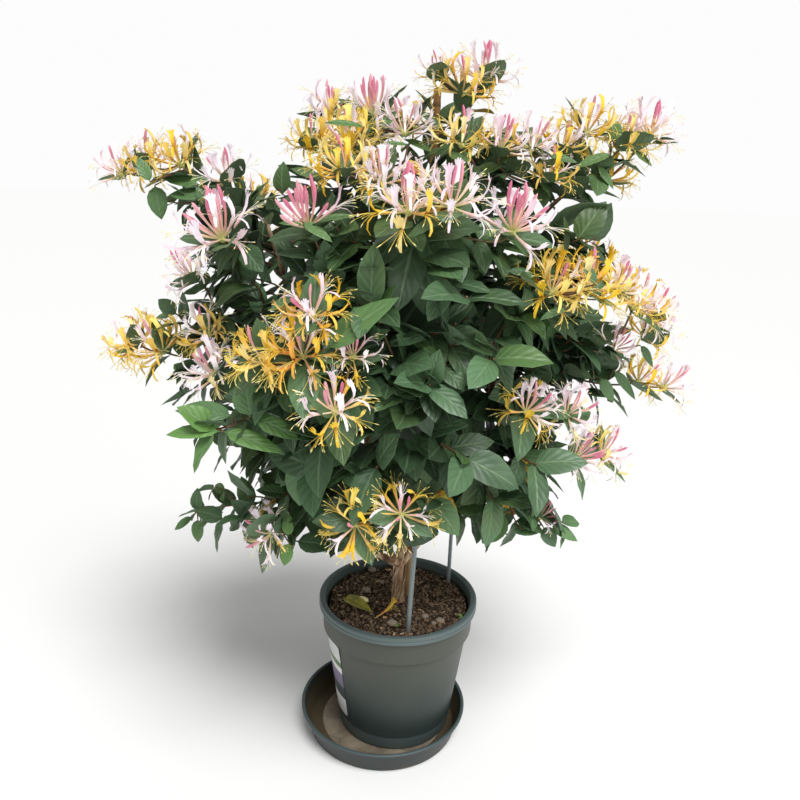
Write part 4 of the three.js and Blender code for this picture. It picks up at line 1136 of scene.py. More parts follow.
class LeafSettings(bpy.types.PropertyGroup):
    length: length("Leaf length", "Length of a full-grown leaf", 0.072)
    width: length("Leaf width", "Width of a full-grown leaf", 0.041)
    spacing: length("Pair spacing", "Distance between the pairs along a stem", 0.03)
    inner: IntProperty(name="Inner shoots", description="Leafy shoots inside the plant on each limb", default=26,
                       min=0, max=40)
    dark: colour("Dark green", "Colour of the darker leaves", rgb(33, 52, 32))
    mature: colour("Green", "Colour of full-grown leaves", rgb(96, 131, 92))
    # Also mixed into the leaves at the top of the plant as painted light from above.
    olive_and_top_light: colour("Olive", "Colour of leaves that have had more sun", rgb(86, 108, 46))
    young: colour("Young green", "Colour of young leaves", rgb(108, 154, 74))
    vein: colour("Vein", "Colour of the veins", rgb(136, 164, 124))
    underside: colour("Underside", "Colour of the leaves' undersides", rgb(104, 130, 100))


class BloomSettings(bpy.types.PropertyGroup):
    scale: amount("Flower size", "Size of the flowers", 1.0, 0.2, max=2, subtype="FACTOR")
    bud: colour("Bud", "Colour of the closed buds", rgb(212, 118, 148))
    fresh: colour("Newly open", "Colour of a flower on its first day", rgb(246, 234, 246))
    cream: colour("Turning", "Colour of a flower as it turns yellow", rgb(252, 232, 128))
    gold: colour("Golden", "Colour of an older flower", rgb(252, 208, 44))
    orange: colour("Orange", "Colour of the oldest flowers", rgb(236, 140, 44))


class StageSettings(bpy.types.PropertyGroup):
    floor: colour("Floor", "Colour of the floor", rgb(246, 246, 245))
    key: amount("Key light", "Strength of the broad light from above", 2.6)
    fill: amount("Fill light", "Strength of the light from the right", 14, unit="POWER")
    room: amount("Room light", "Strength of the light from all around", 0.36)
    backdrop: amount("Backdrop", "Brightness of the room behind the plant", 0.98)


SETTINGS = {"honeysuckle_pot": PotSettings, "honeysuckle_wood": WoodSettings, "honeysuckle_leaves": LeafSettings,
            "honeysuckle_blooms": BloomSettings, "honeysuckle_stage": StageSettings}


# ---- Pieces ----

ROUND = 128


def wall_radius(pot, height):
    """The outer radius of the pot's tapered wall, which ends 6 mm inside its rim."""
    taper = (pot.rim - 0.006 - pot.foot) / (pot.top - pot.bottom)
    return pot.foot + taper * (height - pot.bottom)


class HONEYSUCKLE_OT_saucer(bpy.types.Operator):
    """Add the saucer with its rolled rim and dusty floor"""
    bl_idname = "honeysuckle.saucer"
    bl_label = "Saucer"

    def execute(self, context):
        pot = context.scene.honeysuckle_pot
        rim, top = pot.saucer_rim, pot.saucer_top
        foot = rim - 0.015
        centre = ((SAUCER_LOW.x + SAUCER_HIGH.x) / 2, (SAUCER_LOW.y + SAUCER_HIGH.y) / 2)
        outline = [(0, 0.0012), (foot - 0.012, 0.0012), (foot - 0.010, 0), (foot - 0.003, 0), (foot, 0.002),
                   (rim - 0.004, top - 0.007), (rim - 0.001, top - 0.0062), (rim, top - 0.004),
                   (rim, top - 0.0016), (rim - 0.0012, top - 0.0003), (rim - 0.003, top),
                   (rim - 0.0055, top - 0.0012), (rim - 0.0068, top - 0.005), (foot - 0.0014, 0.008),
                   (foot - 0.004, 0.005), (foot - 0.0075, 0.004), (foot - 0.022, 0.0040), (foot - 0.023, 0.0048),
                   (foot - 0.025, 0.0048), (foot - 0.026, 0.0040), (0, 0.0038)]
        bm = spun(outline, ROUND, centre)

        def reach(place):
            return math.hypot(place.x - centre[0], place.y - centre[1])

        state = new_state(bm)
        for vert in bm.verts:
            vert[state] = (float(reach(vert.co) > foot - 0.0225), 0, 0, 0)
        for face in bm.faces:
            inner = reach(face.calc_center_median()) < rim - 0.006
            face.material_index = int(inner and face.normal.z > 0.05)
        # The saucer is the pot's plastic multiplied by 0.62: painted shade.
        plastic = plastic_material("Saucer plastic", pot, 0.01, 0.4, top - 0.004, 0.012, painted_shade_factor=0.62)
        floor = saucer_floor_material("Dusty saucer floor", pot.plastic)
        add_piece("saucer_dish", bm, [plastic, floor], ["saucer"], 30)
        return {"FINISHED"}


class HONEYSUCKLE_OT_pot(bpy.types.Operator):
    """Add the pot with its rolled rim, collar and raised floor"""
    bl_idname = "honeysuckle.pot"
    bl_label = "Pot"

    def execute(self, context):
        pot = context.scene.honeysuckle_pot
        low, top, foot, rim = pot.bottom, pot.top, pot.foot, pot.rim
        collar, lip = top - pot.collar, top - pot.lip

        def wall(height, out=0.0):
            return wall_radius(pot, height) + out

        inner = wall(top) - 0.0051
        outline = [(0, low + 0.002), (foot - 0.014, low + 0.002), (foot - 0.012, low), (foot - 0.002, low),
                   (foot, low + 0.003), (wall(low + 0.0045), low + 0.0045), (wall(0.029), 0.029),
                   (wall(0.03), 0.03), (wall(0.032, 0.0006), 0.0315), (wall(0.036, 0.0006), 0.0355),
                   (wall(0.037), 0.037), (wall(collar), collar - 0.001), (wall(collar, 0.0018), collar + 0.001),
                   (wall(top) - 0.0014, collar + 0.004), (wall(top), lip - 0.0008), (wall(top, 0.001), lip),
                   (rim - 0.0008, lip), (rim, lip + 0.001), (rim, lip + 0.0045), (rim - 0.0009, lip + 0.0052),
                   (rim - 0.0009, lip + 0.0068), (rim, lip + 0.0075), (rim, top - 0.0025),
                   (rim - 0.001, top - 0.0008), (rim - 0.003, top), (rim - 0.0065, top - 0.0003),
                   (inner + 0.001, top - 0.002), (inner, top - 0.006), (foot - 0.0026, low + 0.005),
                   (0, low + 0.005)]
        # The last number is the height below which the pot's wall gets painted light.
        plastic = plastic_material("Pot plastic", pot, 0.06, 0.19, lip, 0.008, 0.03)
        add_piece("pot_shell", spun(outline, ROUND), [plastic], ["pot"], 30)
        return {"FINISHED"}


class HONEYSUCKLE_OT_label(bpy.types.Operator):
    """Add the plain sticker on the pot's left side"""
    bl_idname = "honeysuckle.label"
    bl_label = "Label"

    def execute(self, context):
        pot = context.scene.honeysuckle_pot
        low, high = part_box("label")
        middle, spread, thick, off_wall = 201.5, 35, 0.0006, 0.0011
        bm = bmesh.new()
        bmesh.ops.create_grid(bm, x_segments=20, y_segments=12, size=0.5)
        corners = [v for v in bm.verts if len(v.link_edges) == 2]
        bmesh.ops.bevel(bm, geom=corners, offset=0.03, affect="VERTICES", segments=4, profile=0.5, material=-1)
        for vert in bm.verts:
            height = low.z + (high.z - low.z) * (vert.co.y + 0.5)
            angle = math.radians(middle + spread * vert.co.x)
            lifted = 0.0006 * max(0.0, vert.co.x - 0.35) * max(0.0, vert.co.y - 0.2) * 40
            radius = wall_radius(pot, height) + off_wall + lifted
            vert.co = (radius * math.cos(angle), radius * math.sin(angle), height)
        bmesh.ops.recalc_face_normals(bm, faces=bm.faces[:])
        if bm.faces[0].normal.dot(Vector((1, 0, 0))) > 0:
            bmesh.ops.reverse_faces(bm, faces=bm.faces[:])
        bmesh.ops.solidify(bm, geom=bm.faces[:], thickness=thick)
        add_piece("label_sticker", bm, [band_material("Printed bands")], ["label"], 50)
        return {"FINISHED"}


def bed_height(x, y):
    """The bed's top: a smooth wave of three directions, and its clods."""
    spot = Vector((x, y, 0))
    clods = noise.noise(spot * 70) * 0.003 + noise.noise(spot * 190) * 0.0018
    x, y = x / MM, y / MM
    wave = math.sin(x * 0.075 + 1) + math.sin(y * 0.09 - x * 0.04) + math.sin((x + y) * 0.13 + 2)
    return (230 + 4.5 * wave / 3) * MM + clods + 0.001


def on_bed(x, y, above):
    return Vector((x, y, bed_height(x, y) + above))


def strewn(reach, draw):
    """A spot somewhere within reach of the bed's middle."""
    radius, angle = reach * math.sqrt(draw()), draw(0, math.tau)
    return radius * math.cos(angle), radius * math.sin(angle)


class HONEYSUCKLE_OT_soil(bpy.types.Operator):
    """Add the lumpy soil with crumbs, perlite, chips of bark and root threads"""
    bl_idname = "honeysuckle.soil"
    bl_label = "Soil"

    def execute(self, context):
        reach, rings, floor, top = 0.1195, 60, 0.01, 0.228
        outline = [(0, floor), (0.0955, floor), (reach + 0.001, 0.215), (reach, 0.224)]
        outline += [(reach * (1 - k / rings), top) for k in range(1, rings)] + [(0, top)]
        bed = spun(outline, 144)
        for vert in bed.verts:
            if vert.co.z > top - 0.002:
                vert.co.z = bed_height(vert.co.x, vert.co.y)
        paint(bed.verts, new_state(bed), (0, 0, 0, 1))
        soil = soil_material("Potting soil")
        add_piece("soil_bed", bed, [soil], ["soil"], 80)
        draw = draws(71)
        lumps = [lump_template(seed, draw(0.6, 0.95)) for seed in range(5)]
        crumbs = Stamps()
        for _ in range(1500):
            self.scatter(crumbs, lumps, draw, 0.0018, 0.0095, {DRY: draw(0, 0.95) ** 2, PERLITE: 0.0})
        for _ in range(90):
            self.scatter(crumbs, lumps, draw, 0.0012, 0.0032, {DRY: 0.2, PERLITE: draw(0.5, 1.0)})
        add_piece("soil_crumbs", crumbs.bm, [soil])
        self.add_chips(draw)
        self.add_roots(draw)
        return {"FINISHED"}

    def scatter(self, stamps, lumps, draw, small, large, changes):
        """One crumb somewhere on the bed, clear of the trunk."""
        reach, clear = 0.1175, 0.014
        x, y = strewn(reach, draw)
        size = small + (large - small) * draw() ** 3
        if math.hypot(x, y) < clear:
            return
        turn = Quaternion((draw(-1, 1), draw(-1, 1), draw(-1, 1)), draw(0, 3)).to_matrix().to_4x4()
        shape = Matrix.Diagonal((size * draw(0.7, 1.5), size * draw(0.7, 1.2), size * 0.8, 1))
        place = Matrix.Translation(on_bed(x, y, size * 0.18))
        stamps.add(lumps[int(draw(0, len(lumps)))], place @ turn @ shape, changes)

    def add_chips(self, draw):
        chip = bmesh.new()
        state = new_state(chip)
        bmesh.ops.create_cube(chip, size=1)
        for vert in chip.verts:
            vert.co.y *= draw(0.5, 1.1)
        paint(chip.verts, state, (0, 0, 0, 1))
        bmesh.ops.bevel(chip, geom=chip.edges[:], offset=0.12, affect="EDGES", segments=1, profile=0.5,
                        material=-1)
        template = kept_mesh(chip, "chip")
        chips = Stamps()
        count, reach, clear = 170, 0.116, 0.02
        for _ in range(count):
            x, y = strewn(reach, draw)
            if math.hypot(x, y) < clear:
                continue
            size = draw(0.003, 0.009)
            turn = Matrix.Rotation(draw(0, math.tau), 4, "Z") @ Matrix.Rotation(draw(-0.6, 0.6), 4, "X")
            shape = Matrix.Diagonal((size, size * 0.45, size * 0.22, 1))
            chips.add(template, Matrix.Translation(on_bed(x, y, 0.001)) @ turn @ shape, {PEEL: draw(0, 0.5)})
        add_piece("bark_chips", chips.bm, [bark_material("Bark chips")], (), 30)

    def add_roots(self, draw):
        """Thin roots that wind over the bed: where each starts, its length and its first way."""
        rods = []
        steps = 8
        for x, y, long, angle in ((54, -7, 34, -0.3), (51, 25, 28, 1.9), (86, -10, 22, 2.4), (-30, -60, 40, 2.6),
                                  (20, 60, 30, 0.4), (-70, 30, 30, 1.1), (-20, 75, 26, 2.2), (60, -70, 24, 0.2)):
            place = Vector((x, y, 0)) * MM
            rod = []
            for i in range(steps + 1):
                spot = on_bed(place.x, place.y, 0.0012 + 0.001 * math.sin(i * 1.3))
                rod.append((spot, 0.0006 - 0.00005 * i))
                angle += draw(-0.5, 0.5)
                place += Vector((math.cos(angle), math.sin(angle), 0)) * long * MM / steps
            rods.append(rod)
        roots = Stamps()
        roots.add_rods(rods)
        add_piece("root_threads", roots.bm, [root_material("Root threads")])


class HONEYSUCKLE_OT_supports(bpy.types.Operator):
    """Add the bamboo cane and the two coated stakes"""
    bl_idname = "honeysuckle.supports"
    bl_label = "Cane and stakes"

    def execute(self, context):
        wood = context.scene.honeysuckle_wood
        foot, top = at(CANE_FOOT), at(CANE_TOP)
        joints = (0.12, 0.29, 0.45, 0.60, 0.74, 0.87, 0.975)
        steps = sorted({i / 120 for i in range(121)} | {j + d for j in joints for d in (-0.003, -0.0012, 0.0012)})

        def near(share, width):
            return [math.exp(-((share - j) / width) ** 2) for j in joints]

        rod = []
        for share in steps:
            sway = Vector((math.sin(share * 9) * 0.0004, math.cos(share * 7) * 0.0004, 0))
            rod.append((foot.lerp(top, share) + sway, wood.cane * (0.97 + 0.1 * sum(near(share, 0.0035)))))
        cane = Stamps()
        cane.add_rods([rod], 20)
        state = new_state(cane.bm)
        for vert in cane.bm.verts:
            share = (vert.co.z - foot.z) / (top.z - foot.z)
            vert[state] = (0, max(near(share - 0.0015, 0.0022)), float(share > 0.9995), 1)
        add_piece("cane_of_bamboo", cane.bm, [cane_material("Bamboo")], ["bamboo_cane"], 40)
        coat = coated_material("Coated steel")
        self.add_stake("stake_front", (14, -102, 130), (36, -58, 706), 0.004, coat)
        self.add_stake("stake_back", (89, 59, 170), (92, 62, 640), 0.0034, coat)
        return {"FINISHED"}

    def add_stake(self, name, foot, top, radius, coat):
        """A straight stake with small ribs and a rounded top, soiled where it enters the bed."""
        foot, top = at(foot), at(top)
        step, span = 0.003, (top - foot).length
        rod = []
        for i in range(int(span / step) + 1):
            rib = 0.00022 if i % 5 == 0 else 0
            rod.append((foot.lerp(top, i * step / span * 0.995), radius * 0.97 + rib))
        rod += [(foot.lerp(top, 0.998), radius * 0.8), (top, radius * 0.35)]
        stake = Stamps()
        stake.add_rods([rod], 14)
        state = new_state(stake.bm)
        for vert in stake.bm.verts:
            vert[state] = (0, 0, max(0.0, 1 - abs(vert.co.z - 0.232) / 0.02) * 0.7, 1)
        add_piece(name.replace("_", "_rod_"), stake.bm, [coat], [name], 50)


class HONEYSUCKLE_OT_trunk(bpy.types.Operator):
    """Add the twisted trunk, its limbs and the peeling bark"""
    bl_idname = "honeysuckle.trunk"
    bl_label = "Trunk"

    def execute(self, context):
        wood = context.scene.honeysuckle_wood
        trunk = Stamps()
        trunk.add_rods([self.strand(side, wood.strand) for side in (0, math.pi)], 20)
        trunk.add_rods([self.limb([at(knot) for knot in knots], wood) for knots in LIMBS.values()], 12)
        bm = trunk.bm
        bm.normal_update()
        for vert in bm.verts:
            spot = vert.co.copy()
            spot.z *= 0.25
            vert.co += vert.normal * (noise.noise(spot * 260) * 0.0011 + noise.noise(vert.co * 90) * 0.0008)
        paint(bm.verts, new_state(bm), (0, 0, 0, 1))
        bark = bark_material("Bark")
        add_piece("trunk_and_limbs", bm, [bark], ["trunk"])
        self.add_peelings(bark)
        return {"FINISHED"}

    def strand(self, side, radius):
        """One of the two stems that wind about each other, thicker where it enters the bed."""
        foot, tall, steps, apart = 0.15, 0.158, 56, 0.0036
        strand = []
        for i in range(steps + 1):
            share = i / steps
            height = foot + tall * share
            angle = side + math.tau * 0.9 * share
            flare = 1 + 0.35 * math.exp(-((height - 0.228) / 0.012) ** 2)
            strand.append((Vector((apart * math.cos(angle), apart * math.sin(angle), height)), radius * flare))
        return strand

    def limb(self, knots, wood):
        steps = 24 * (len(knots) - 1)
        shares = [i / steps for i in range(steps + 1)]
        return [(through(knots, share), wood.limb_base + (wood.limb_end - wood.limb_base) * share**0.6)
                for share in shares]

    def add_peelings(self, bark):
        """Thin strips of bark that stand off the trunk and the lower limbs at one end."""
        draw = draws(33)
        foot, twist, skin = 0.15, 36, 0.0098
        strips = bmesh.new()
        for k in range(34):
            angle = draw(0, math.tau)
            low = draw(0.226, 0.27)
            reach = draw(0.022, 0.055)
            wide = draw(0.12, 0.5)
            lift = draw(0.001, 0.006)
            for vert in bmesh.ops.create_grid(strips, x_segments=2, y_segments=7, size=0.5)["verts"]:
                along = vert.co.y + 0.5
                height = low + reach * along
                turn = angle + vert.co.x * wide * (1 - along * 0.4) + (height - foot) * twist
                radius = skin + lift * along**3 + 0.0006 * math.sin(along * 9 + k)
                vert.co = (radius * math.cos(turn), radius * math.sin(turn), height)
        bmesh.ops.solidify(strips, geom=strips.faces[:], thickness=0.0005)
        state = new_state(strips)
        for vert in strips.verts:
            vert[state] = (0, 0, min(1, max(0, 0.8 * noise.noise(vert.co * 40) + 0.5)), 1)
        bmesh.ops.recalc_face_normals(strips, faces=strips.faces[:])
        add_piece("peeling_bark", strips, [bark], (), 50)


class HONEYSUCKLE_OT_branches(bpy.types.Operator):
    """Add the leafy branches and the shoots inside the plant"""
    bl_idname = "honeysuckle.branches"
    bl_label = "Branches"

    def execute(self, context):
        leaves = context.scene.honeysuckle_leaves
        self.finishes = [leaf_material("Honeysuckle leaf", leaves), stem_material("Young wood")]
        self.templates = {(droop, fold, wave): leaf_template(droop, fold, wave)
                          for droop in (0.1, 0.19, 0.28) for fold in (0.12, 0.3) for wave in (-0.1, 0.1)}
        for number, name in enumerate(BRANCHES):
            self.add_branch(name, number)
        for number, limb in enumerate(LIMBS):
            self.add_inner(limb, number, round(leaves.inner * (1.4 if limb == "middle" else 1)))
        return {"FINISHED"}

    def add_leaf(self, stamps, leaf, tones, draw):
        """A leaf of the template that is nearest in shape, its green between two tones. Some small ones die."""
        near = min(self.templates, key=lambda key: (abs(key[0] - leaf["droop"]) + abs(key[1] - leaf["fold"])
                                                    + abs(key[2] - leaf["wave"])))
        chance, small, inside = 0.03, 0.06, 0.2
        spent = draw() < chance and leaf["length"] < small and abs(leaf["base"].x) < inside
        dying = draw(0.45, 0.95) if spent else 0.0
        young = min(1.0, leaf["young"] + max(0.0, draw(-0.6, 0.2)))
        stamps.add(self.templates[near], leaf_matrix(leaf), {YOUNG: young, DYING: dying, TONE: draw(*tones)})

    def add_clear_leaves(self, stamps, leaves, tones, draw):
        for leaf in leaves:
            if not hangs_over_pot(leaf):
                self.add_leaf(stamps, leaf, tones, draw)

    def finish(self, name, stamps, rods, replaces=()):
        stamps.add_rods(rods, material=1)
        add_piece(name, stamps.bm, self.finishes, replaces)

    def add_branch(self, name, number):
        """A branch: its side shoots, its single leaves, then its main shoots with their twigs."""
        wood = bpy.context.scene.honeysuckle_wood
        spacing = bpy.context.scene.honeysuckle_leaves.spacing
        draw, more = draws(11 + number), draws(511 + number)
        stamps, rods = Stamps(), []
        shoots = shoots_of(name)
        for place, x, y, z, size in SIDE_SHOOTS.get(name, ()):
            shoot = Shoot(shoots[0].point(place), at((x, y, z)), size)
            rods.append(stem_rod(shoot, wood.stem * 0.8, wood.stem * 0.5))
            for leaf in pairs_between(shoot, (), more, spacing, 0.2, 0.99):
                self.add_leaf(stamps, leaf, (0.2, 0.9), more)
        stems = [shoot.point(i / 40) for shoot in shoots for i in range(4, 40)]
        for row in LONE_LEAVES.get(name, ()):
            self.add_leaf(stamps, self.lone_leaf(row), (0.7, 1), more)
            start = min(stems, key=lambda place: (place - at(row)).length)
            rods.append([(start, wood.stem * 0.7), (at(row), wood.stem * 0.5)])
        for shoot in shoots:
            taken, leaves = main_leaves(shoot, draw)
            if shoot.bloom == "young":
                for leaf in leaves[-2:]:
                    leaf["young"] = more(0.5, 0.9)
            extra = pairs_between(shoot, taken, more, spacing)
            rods.append(stem_rod(shoot, wood.stem, wood.stem * 0.7))
            for share in taken[:-1]:
                along = shoot.tangent(share)
                out = around(along, more(0, math.tau)) + along * 0.7 + UP * 0.25
                side, twig_leaves = twig(shoot.point(share), out, more(0.03, 0.06), shoot.size * 0.85, more)
                rods.append(stem_rod(side, wood.stem * 0.6, wood.stem * 0.45))
                extra += twig_leaves
            # Tone ranges: lone leaves that face outwards lightest, main leaves next, extra pairs and twigs darker,
            # partly painted shade.
            for leaf in leaves:
                self.add_leaf(stamps, leaf, (0.3, 1.0), more)
            self.add_clear_leaves(stamps, extra, (0.0, 0.75), more)
        self.finish(f"leaves_{name}", stamps, rods, [f"branch_{name}"])

    def lone_leaf(self, row):
        reach = at(row[3:]) - at(row)
        forward = reach.normalized()
        return {"base": at(row), "forward": forward, "normal": square_to(Vector((-0.1, -0.55, 0.8)), forward),
                "length": reach.length, "width": row[6] * MM, "droop": 0.1, "fold": 0.12, "wave": 0.1,
                "young": row[7]}

    def add_inner(self, limb, number, count):
        """Leafy shoots along a limb, all inside the plant's mass."""
        wood = bpy.context.scene.honeysuckle_wood
        draw = draws(811 + number)
        knots = [at(knot) for knot in LIMBS[limb]]
        stamps, rods = Stamps(), []
        first, span = 0.28, 0.7
        for k in range(count):
            start = through(knots, first + span * (k + 0.5) / count)
            away = Vector((start.x, start.y, 0)).normalized()
            out = turned_about(away, UP, draw(-1.5, 1.5)) + UP * draw(-0.25, 0.5)
            end = start + out.normalized() * draw(0.08, 0.15)
            shoot = Shoot(start, end, draw(1.1, 1.35))
            rods.append(stem_rod(shoot, wood.stem * 0.8, wood.stem * 0.5))
            # The inner shoots get the darkest greens: painted shade inside the plant's mass.
            self.add_clear_leaves(stamps, pairs_between(shoot, (), draw, 0.03, 0.15, 0.97), (0.0, 0.35), draw)
        self.finish(f"inner_leaves_{limb}", stamps, rods)


# Each kind of open flower: how far its stamens spread, and its shapes, as lean, bend and width of the lip.
FLOWERS = {
    "fresh": (0.2, ((0.12, 0.5, 1.05), (0.2, 0.9, 1.1), (0.28, 0.7, 1.0), (0.16, 1.15, 1.1))),
    "old": (0.3, ((0.1, 0.75, 1.15), (0.2, 1.1, 1.05), (0.3, 0.9, 1.1), (0.15, 1.45, 0.9))),
}


class HONEYSUCKLE_OT_blooms(bpy.types.Operator):
    """Add the heads of flowers and buds"""
    bl_idname = "honeysuckle.blooms"
    bl_label = "Blooms"

    def execute(self, context):
        petals = context.scene.honeysuckle_blooms
        warmth = {"gold": rgb(236, 166, 60), "orange": rgb(232, 120, 70), "blush": rgb(222, 140, 170),
                  "rose": rgb(214, 96, 140)}
        finishes = {look: petal_material(f"Petals, {look}", petals, warm) for look, warm in warmth.items()}
        stalk = stem_material("Flower stalk")
        draw = draws(5)
        self.flowers = {kind: [flower_template(*shape, fan, draw) for shape in shapes]
                        for kind, (fan, shapes) in FLOWERS.items()}
        self.buds = [bud_template(lean) for lean in (0.12, 0.3, 0.5)]
        self.core = lump_template(9, 1.0, 2)
        self.bracts = leaf_template(0.15, 0.12, 0.1)
        ends = {shoot.bloom: shoot.point(1) for name in BRANCHES for shoot in shoots_of(name)}
        greens = bpy.data.materials["Honeysuckle leaf"]
        for number, (name, (look, heads)) in enumerate(BLOOMS.items()):
            draw = draws(301 + number)
            places = [ends[name] + facing(ends[name]) * 0.0052] + [at(head) for head in heads[1:]]
            stamps, rods = Stamps(), []
            for i, (place, head) in enumerate(zip(places, heads)):
                size, *own = head[3:] if i else head
                self.add_head(stamps, place, size * petals.scale, own[0] if own else look, draw)
                if i:
                    sag = (places[i - 1] + place) / 2 - UP * 0.004
                    rods.append([(places[i - 1], 0.0017), (sag, 0.0015), (place, 0.0017)])
                    self.add_bracts(stamps, place, draw)
            if rods:
                stamps.add_rods(rods, material=1)
            add_piece(f"flowers_{name}", stamps.bm, [finishes[look], stalk, greens],
                      [f"bloom_{name}"], 50)
        return {"FINISHED"}

    def add_head(self, stamps, place, size, look, draw):
        """Buds in the middle, then flowers that are older the further out they stand."""
        flowers, buds, newly_open, older, spread = LOOKS[look]
        first_bud, first_flower, flower_spread = 12, 34, 68
        axis = blooming(place)
        flowers, buds = (max(1, round(count * size)) for count in (flowers, buds))
        core = Matrix.Translation(place) @ Matrix.Scale(0.0095, 4)
        stamps.add(self.core, core, {AGE: 0.3, ALONG: 0.0, TONE: 0.0})
        turn = draw(0, math.tau)
        for k in range(buds + flowers):
            bud = k < buds
            rank = k / buds if bud else (k - buds + draw(0.2, 0.8)) / flowers
            tilt = first_bud + spread * rank if bud else first_flower + flower_spread * rank**0.9
            polar = math.radians(tilt)
            across = around(axis, turn + k * GOLDEN + draw(-0.2, 0.2))
            forward = (axis * math.cos(polar) + across * math.sin(polar)).normalized()
            rise = square_to(axis * 0.7 + UP, forward)
            grown = size * draw(0.94, 1.2)
            matrix = placed(rise * grown, forward.cross(rise) * grown, forward * grown, place + forward * 0.003)
            if bud:
                template = self.buds[int(draw(0, 3))]
                age = draw(0.0, 0.2)
            else:
                fresh = rank < newly_open + draw(-0.25, 0.25)
                age = draw(0.3, 0.46) if fresh else min(older + draw(-0.1, 0.12), 1.0)
                template = self.flowers["fresh" if fresh else "old"][int(draw(0, 4))]
            stamps.add(template, matrix, {AGE: age, TONE: draw(0, 1) ** 2})

    def add_bracts(self, stamps, place, draw):
        """The pair of leaves below a head."""
        axis = blooming(place)
        turn = draw(0, math.pi)
        for side in (0, math.pi):
            leaf = leaf_at(place - axis * 0.007, axis, around(axis, turn + side), draw(0.55, 0.8), draw)
            stamps.add(self.bracts, leaf_matrix(leaf), {YOUNG: draw(0, 0.2), TONE: draw(0.3, 1.0)}, material=2)


class HONEYSUCKLE_OT_loose(bpy.types.Operator):
    """Add the stones, the fallen leaf and petals, and the seedlings on the soil"""
    bl_idname = "honeysuckle.loose"
    bl_label = "Loose things on the soil"

    def execute(self, context):
        stone = stone_material("Stone")
        low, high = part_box("pebble")
        self.add_stone("stone_main", (low + high) / 2, high - low, 4, stone, ["pebble"])
        for k, (x, y, size) in enumerate(((-57, 31, 17), (-50, 98, 15), (46, -48, 13), (71, -55, 15), (60, -66, 9),
                                          (-30, 60, 10))):
            place = on_bed(x * MM, y * MM, size * MM * 0.2)
            self.add_stone(f"stone_small_{k + 1}", place, Vector((size, size * 0.8, size * 0.6)) * MM, 5 + k, stone)
        self.add_fallen_leaf()
        self.add_seedlings()
        return {"FINISHED"}

    def add_stone(self, name, place, size, seed, stone, replaces=()):
        bm = bmesh.new()
        bmesh.ops.create_icosphere(bm, subdivisions=4, radius=0.5)
        for vert in bm.verts:
            vert.co *= 1 + 0.16 * noise.noise(vert.co * 2.2 + Vector((seed, 0, 0)))
        bmesh.ops.scale(bm, verts=bm.verts[:], vec=size)
        bmesh.ops.translate(bm, verts=bm.verts[:], vec=place)
        add_piece(name, bm, [stone], replaces, 80)

    def add_fallen_leaf(self):
        low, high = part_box("fallen_leaf")
        size = (high - low).length
        forward = Vector((high.x - low.x, low.y - high.y, 0)).normalized()
        normal = square_to(Vector((0.05, -0.25, 1)), forward)
        matrix = placed(forward.cross(normal) * size * 0.7, forward * size, normal * size,
                        (low.x, high.y, low.z + 0.0045))
        stamps = Stamps()
        stamps.add(leaf_template(-0.04, 0.4, 0.05), matrix, {YOUNG: 0.7, DYING: 0.43, TONE: 1.0})
        add_piece("leaf_on_soil", stamps.bm, [bpy.data.materials["Honeysuckle leaf"]],
                  ["fallen_leaf"])

    def add_seedlings(self):
        """Two small weeds, a fallen flower and fallen petals."""
        draw = draws(91)
        leaf = leaf_template(0.1, 0.1, 0.1, 0.02)
        green = Stamps()
        for x, y, count, size in ((0, -80, 7, 9), (107, -46, 5, 8)):
            place = Matrix.Translation(on_bed(x * MM, y * MM, 0.002))
            for k in range(count):
                turn = Matrix.Rotation(k * GOLDEN, 4, "Z") @ Matrix.Rotation(draw(0.3, 1.0), 4, "X")
                green.add(leaf, place @ turn @ Matrix.Scale(size * MM * draw(0.7, 1.1), 4))
        add_piece("seedlings", green.bm, [sprout_material("Seedling")])
        fallen = Stamps()
        flower = flower_template(0.1, 0.6, 1.2, 0.25, draw)
        forward = Vector((0.69, 0.71, 0.1)).normalized()
        rise = square_to(UP, forward)
        matrix = placed(rise, forward.cross(rise), forward, on_bed(-0.037, -0.062, 0.003))
        fallen.add(flower, matrix, {AGE: 0.88, TONE: 0.2})
        for x, y, size, age in ((-24, -58, 12, 0.95), (-15, 100, 14, 1.0), (-50, -12, 27, 0.6), (40, -30, 9, 0.9),
                                (-40, 60, 10, 0.85)):
            place = Matrix.Translation(on_bed(x * MM, y * MM, 0.003))
            turn = Matrix.Rotation(draw(0, math.tau), 4, "Z") @ Matrix.Rotation(draw(-0.2, 0.2), 4, "X")
            fallen.add(leaf, place @ turn @ Matrix.Scale(size * MM, 4), {AGE: age, ALONG: 1.0, PART: 0.0})
        add_piece("fallen_petals", fallen.bm, [bpy.data.materials["Petals, orange"]])


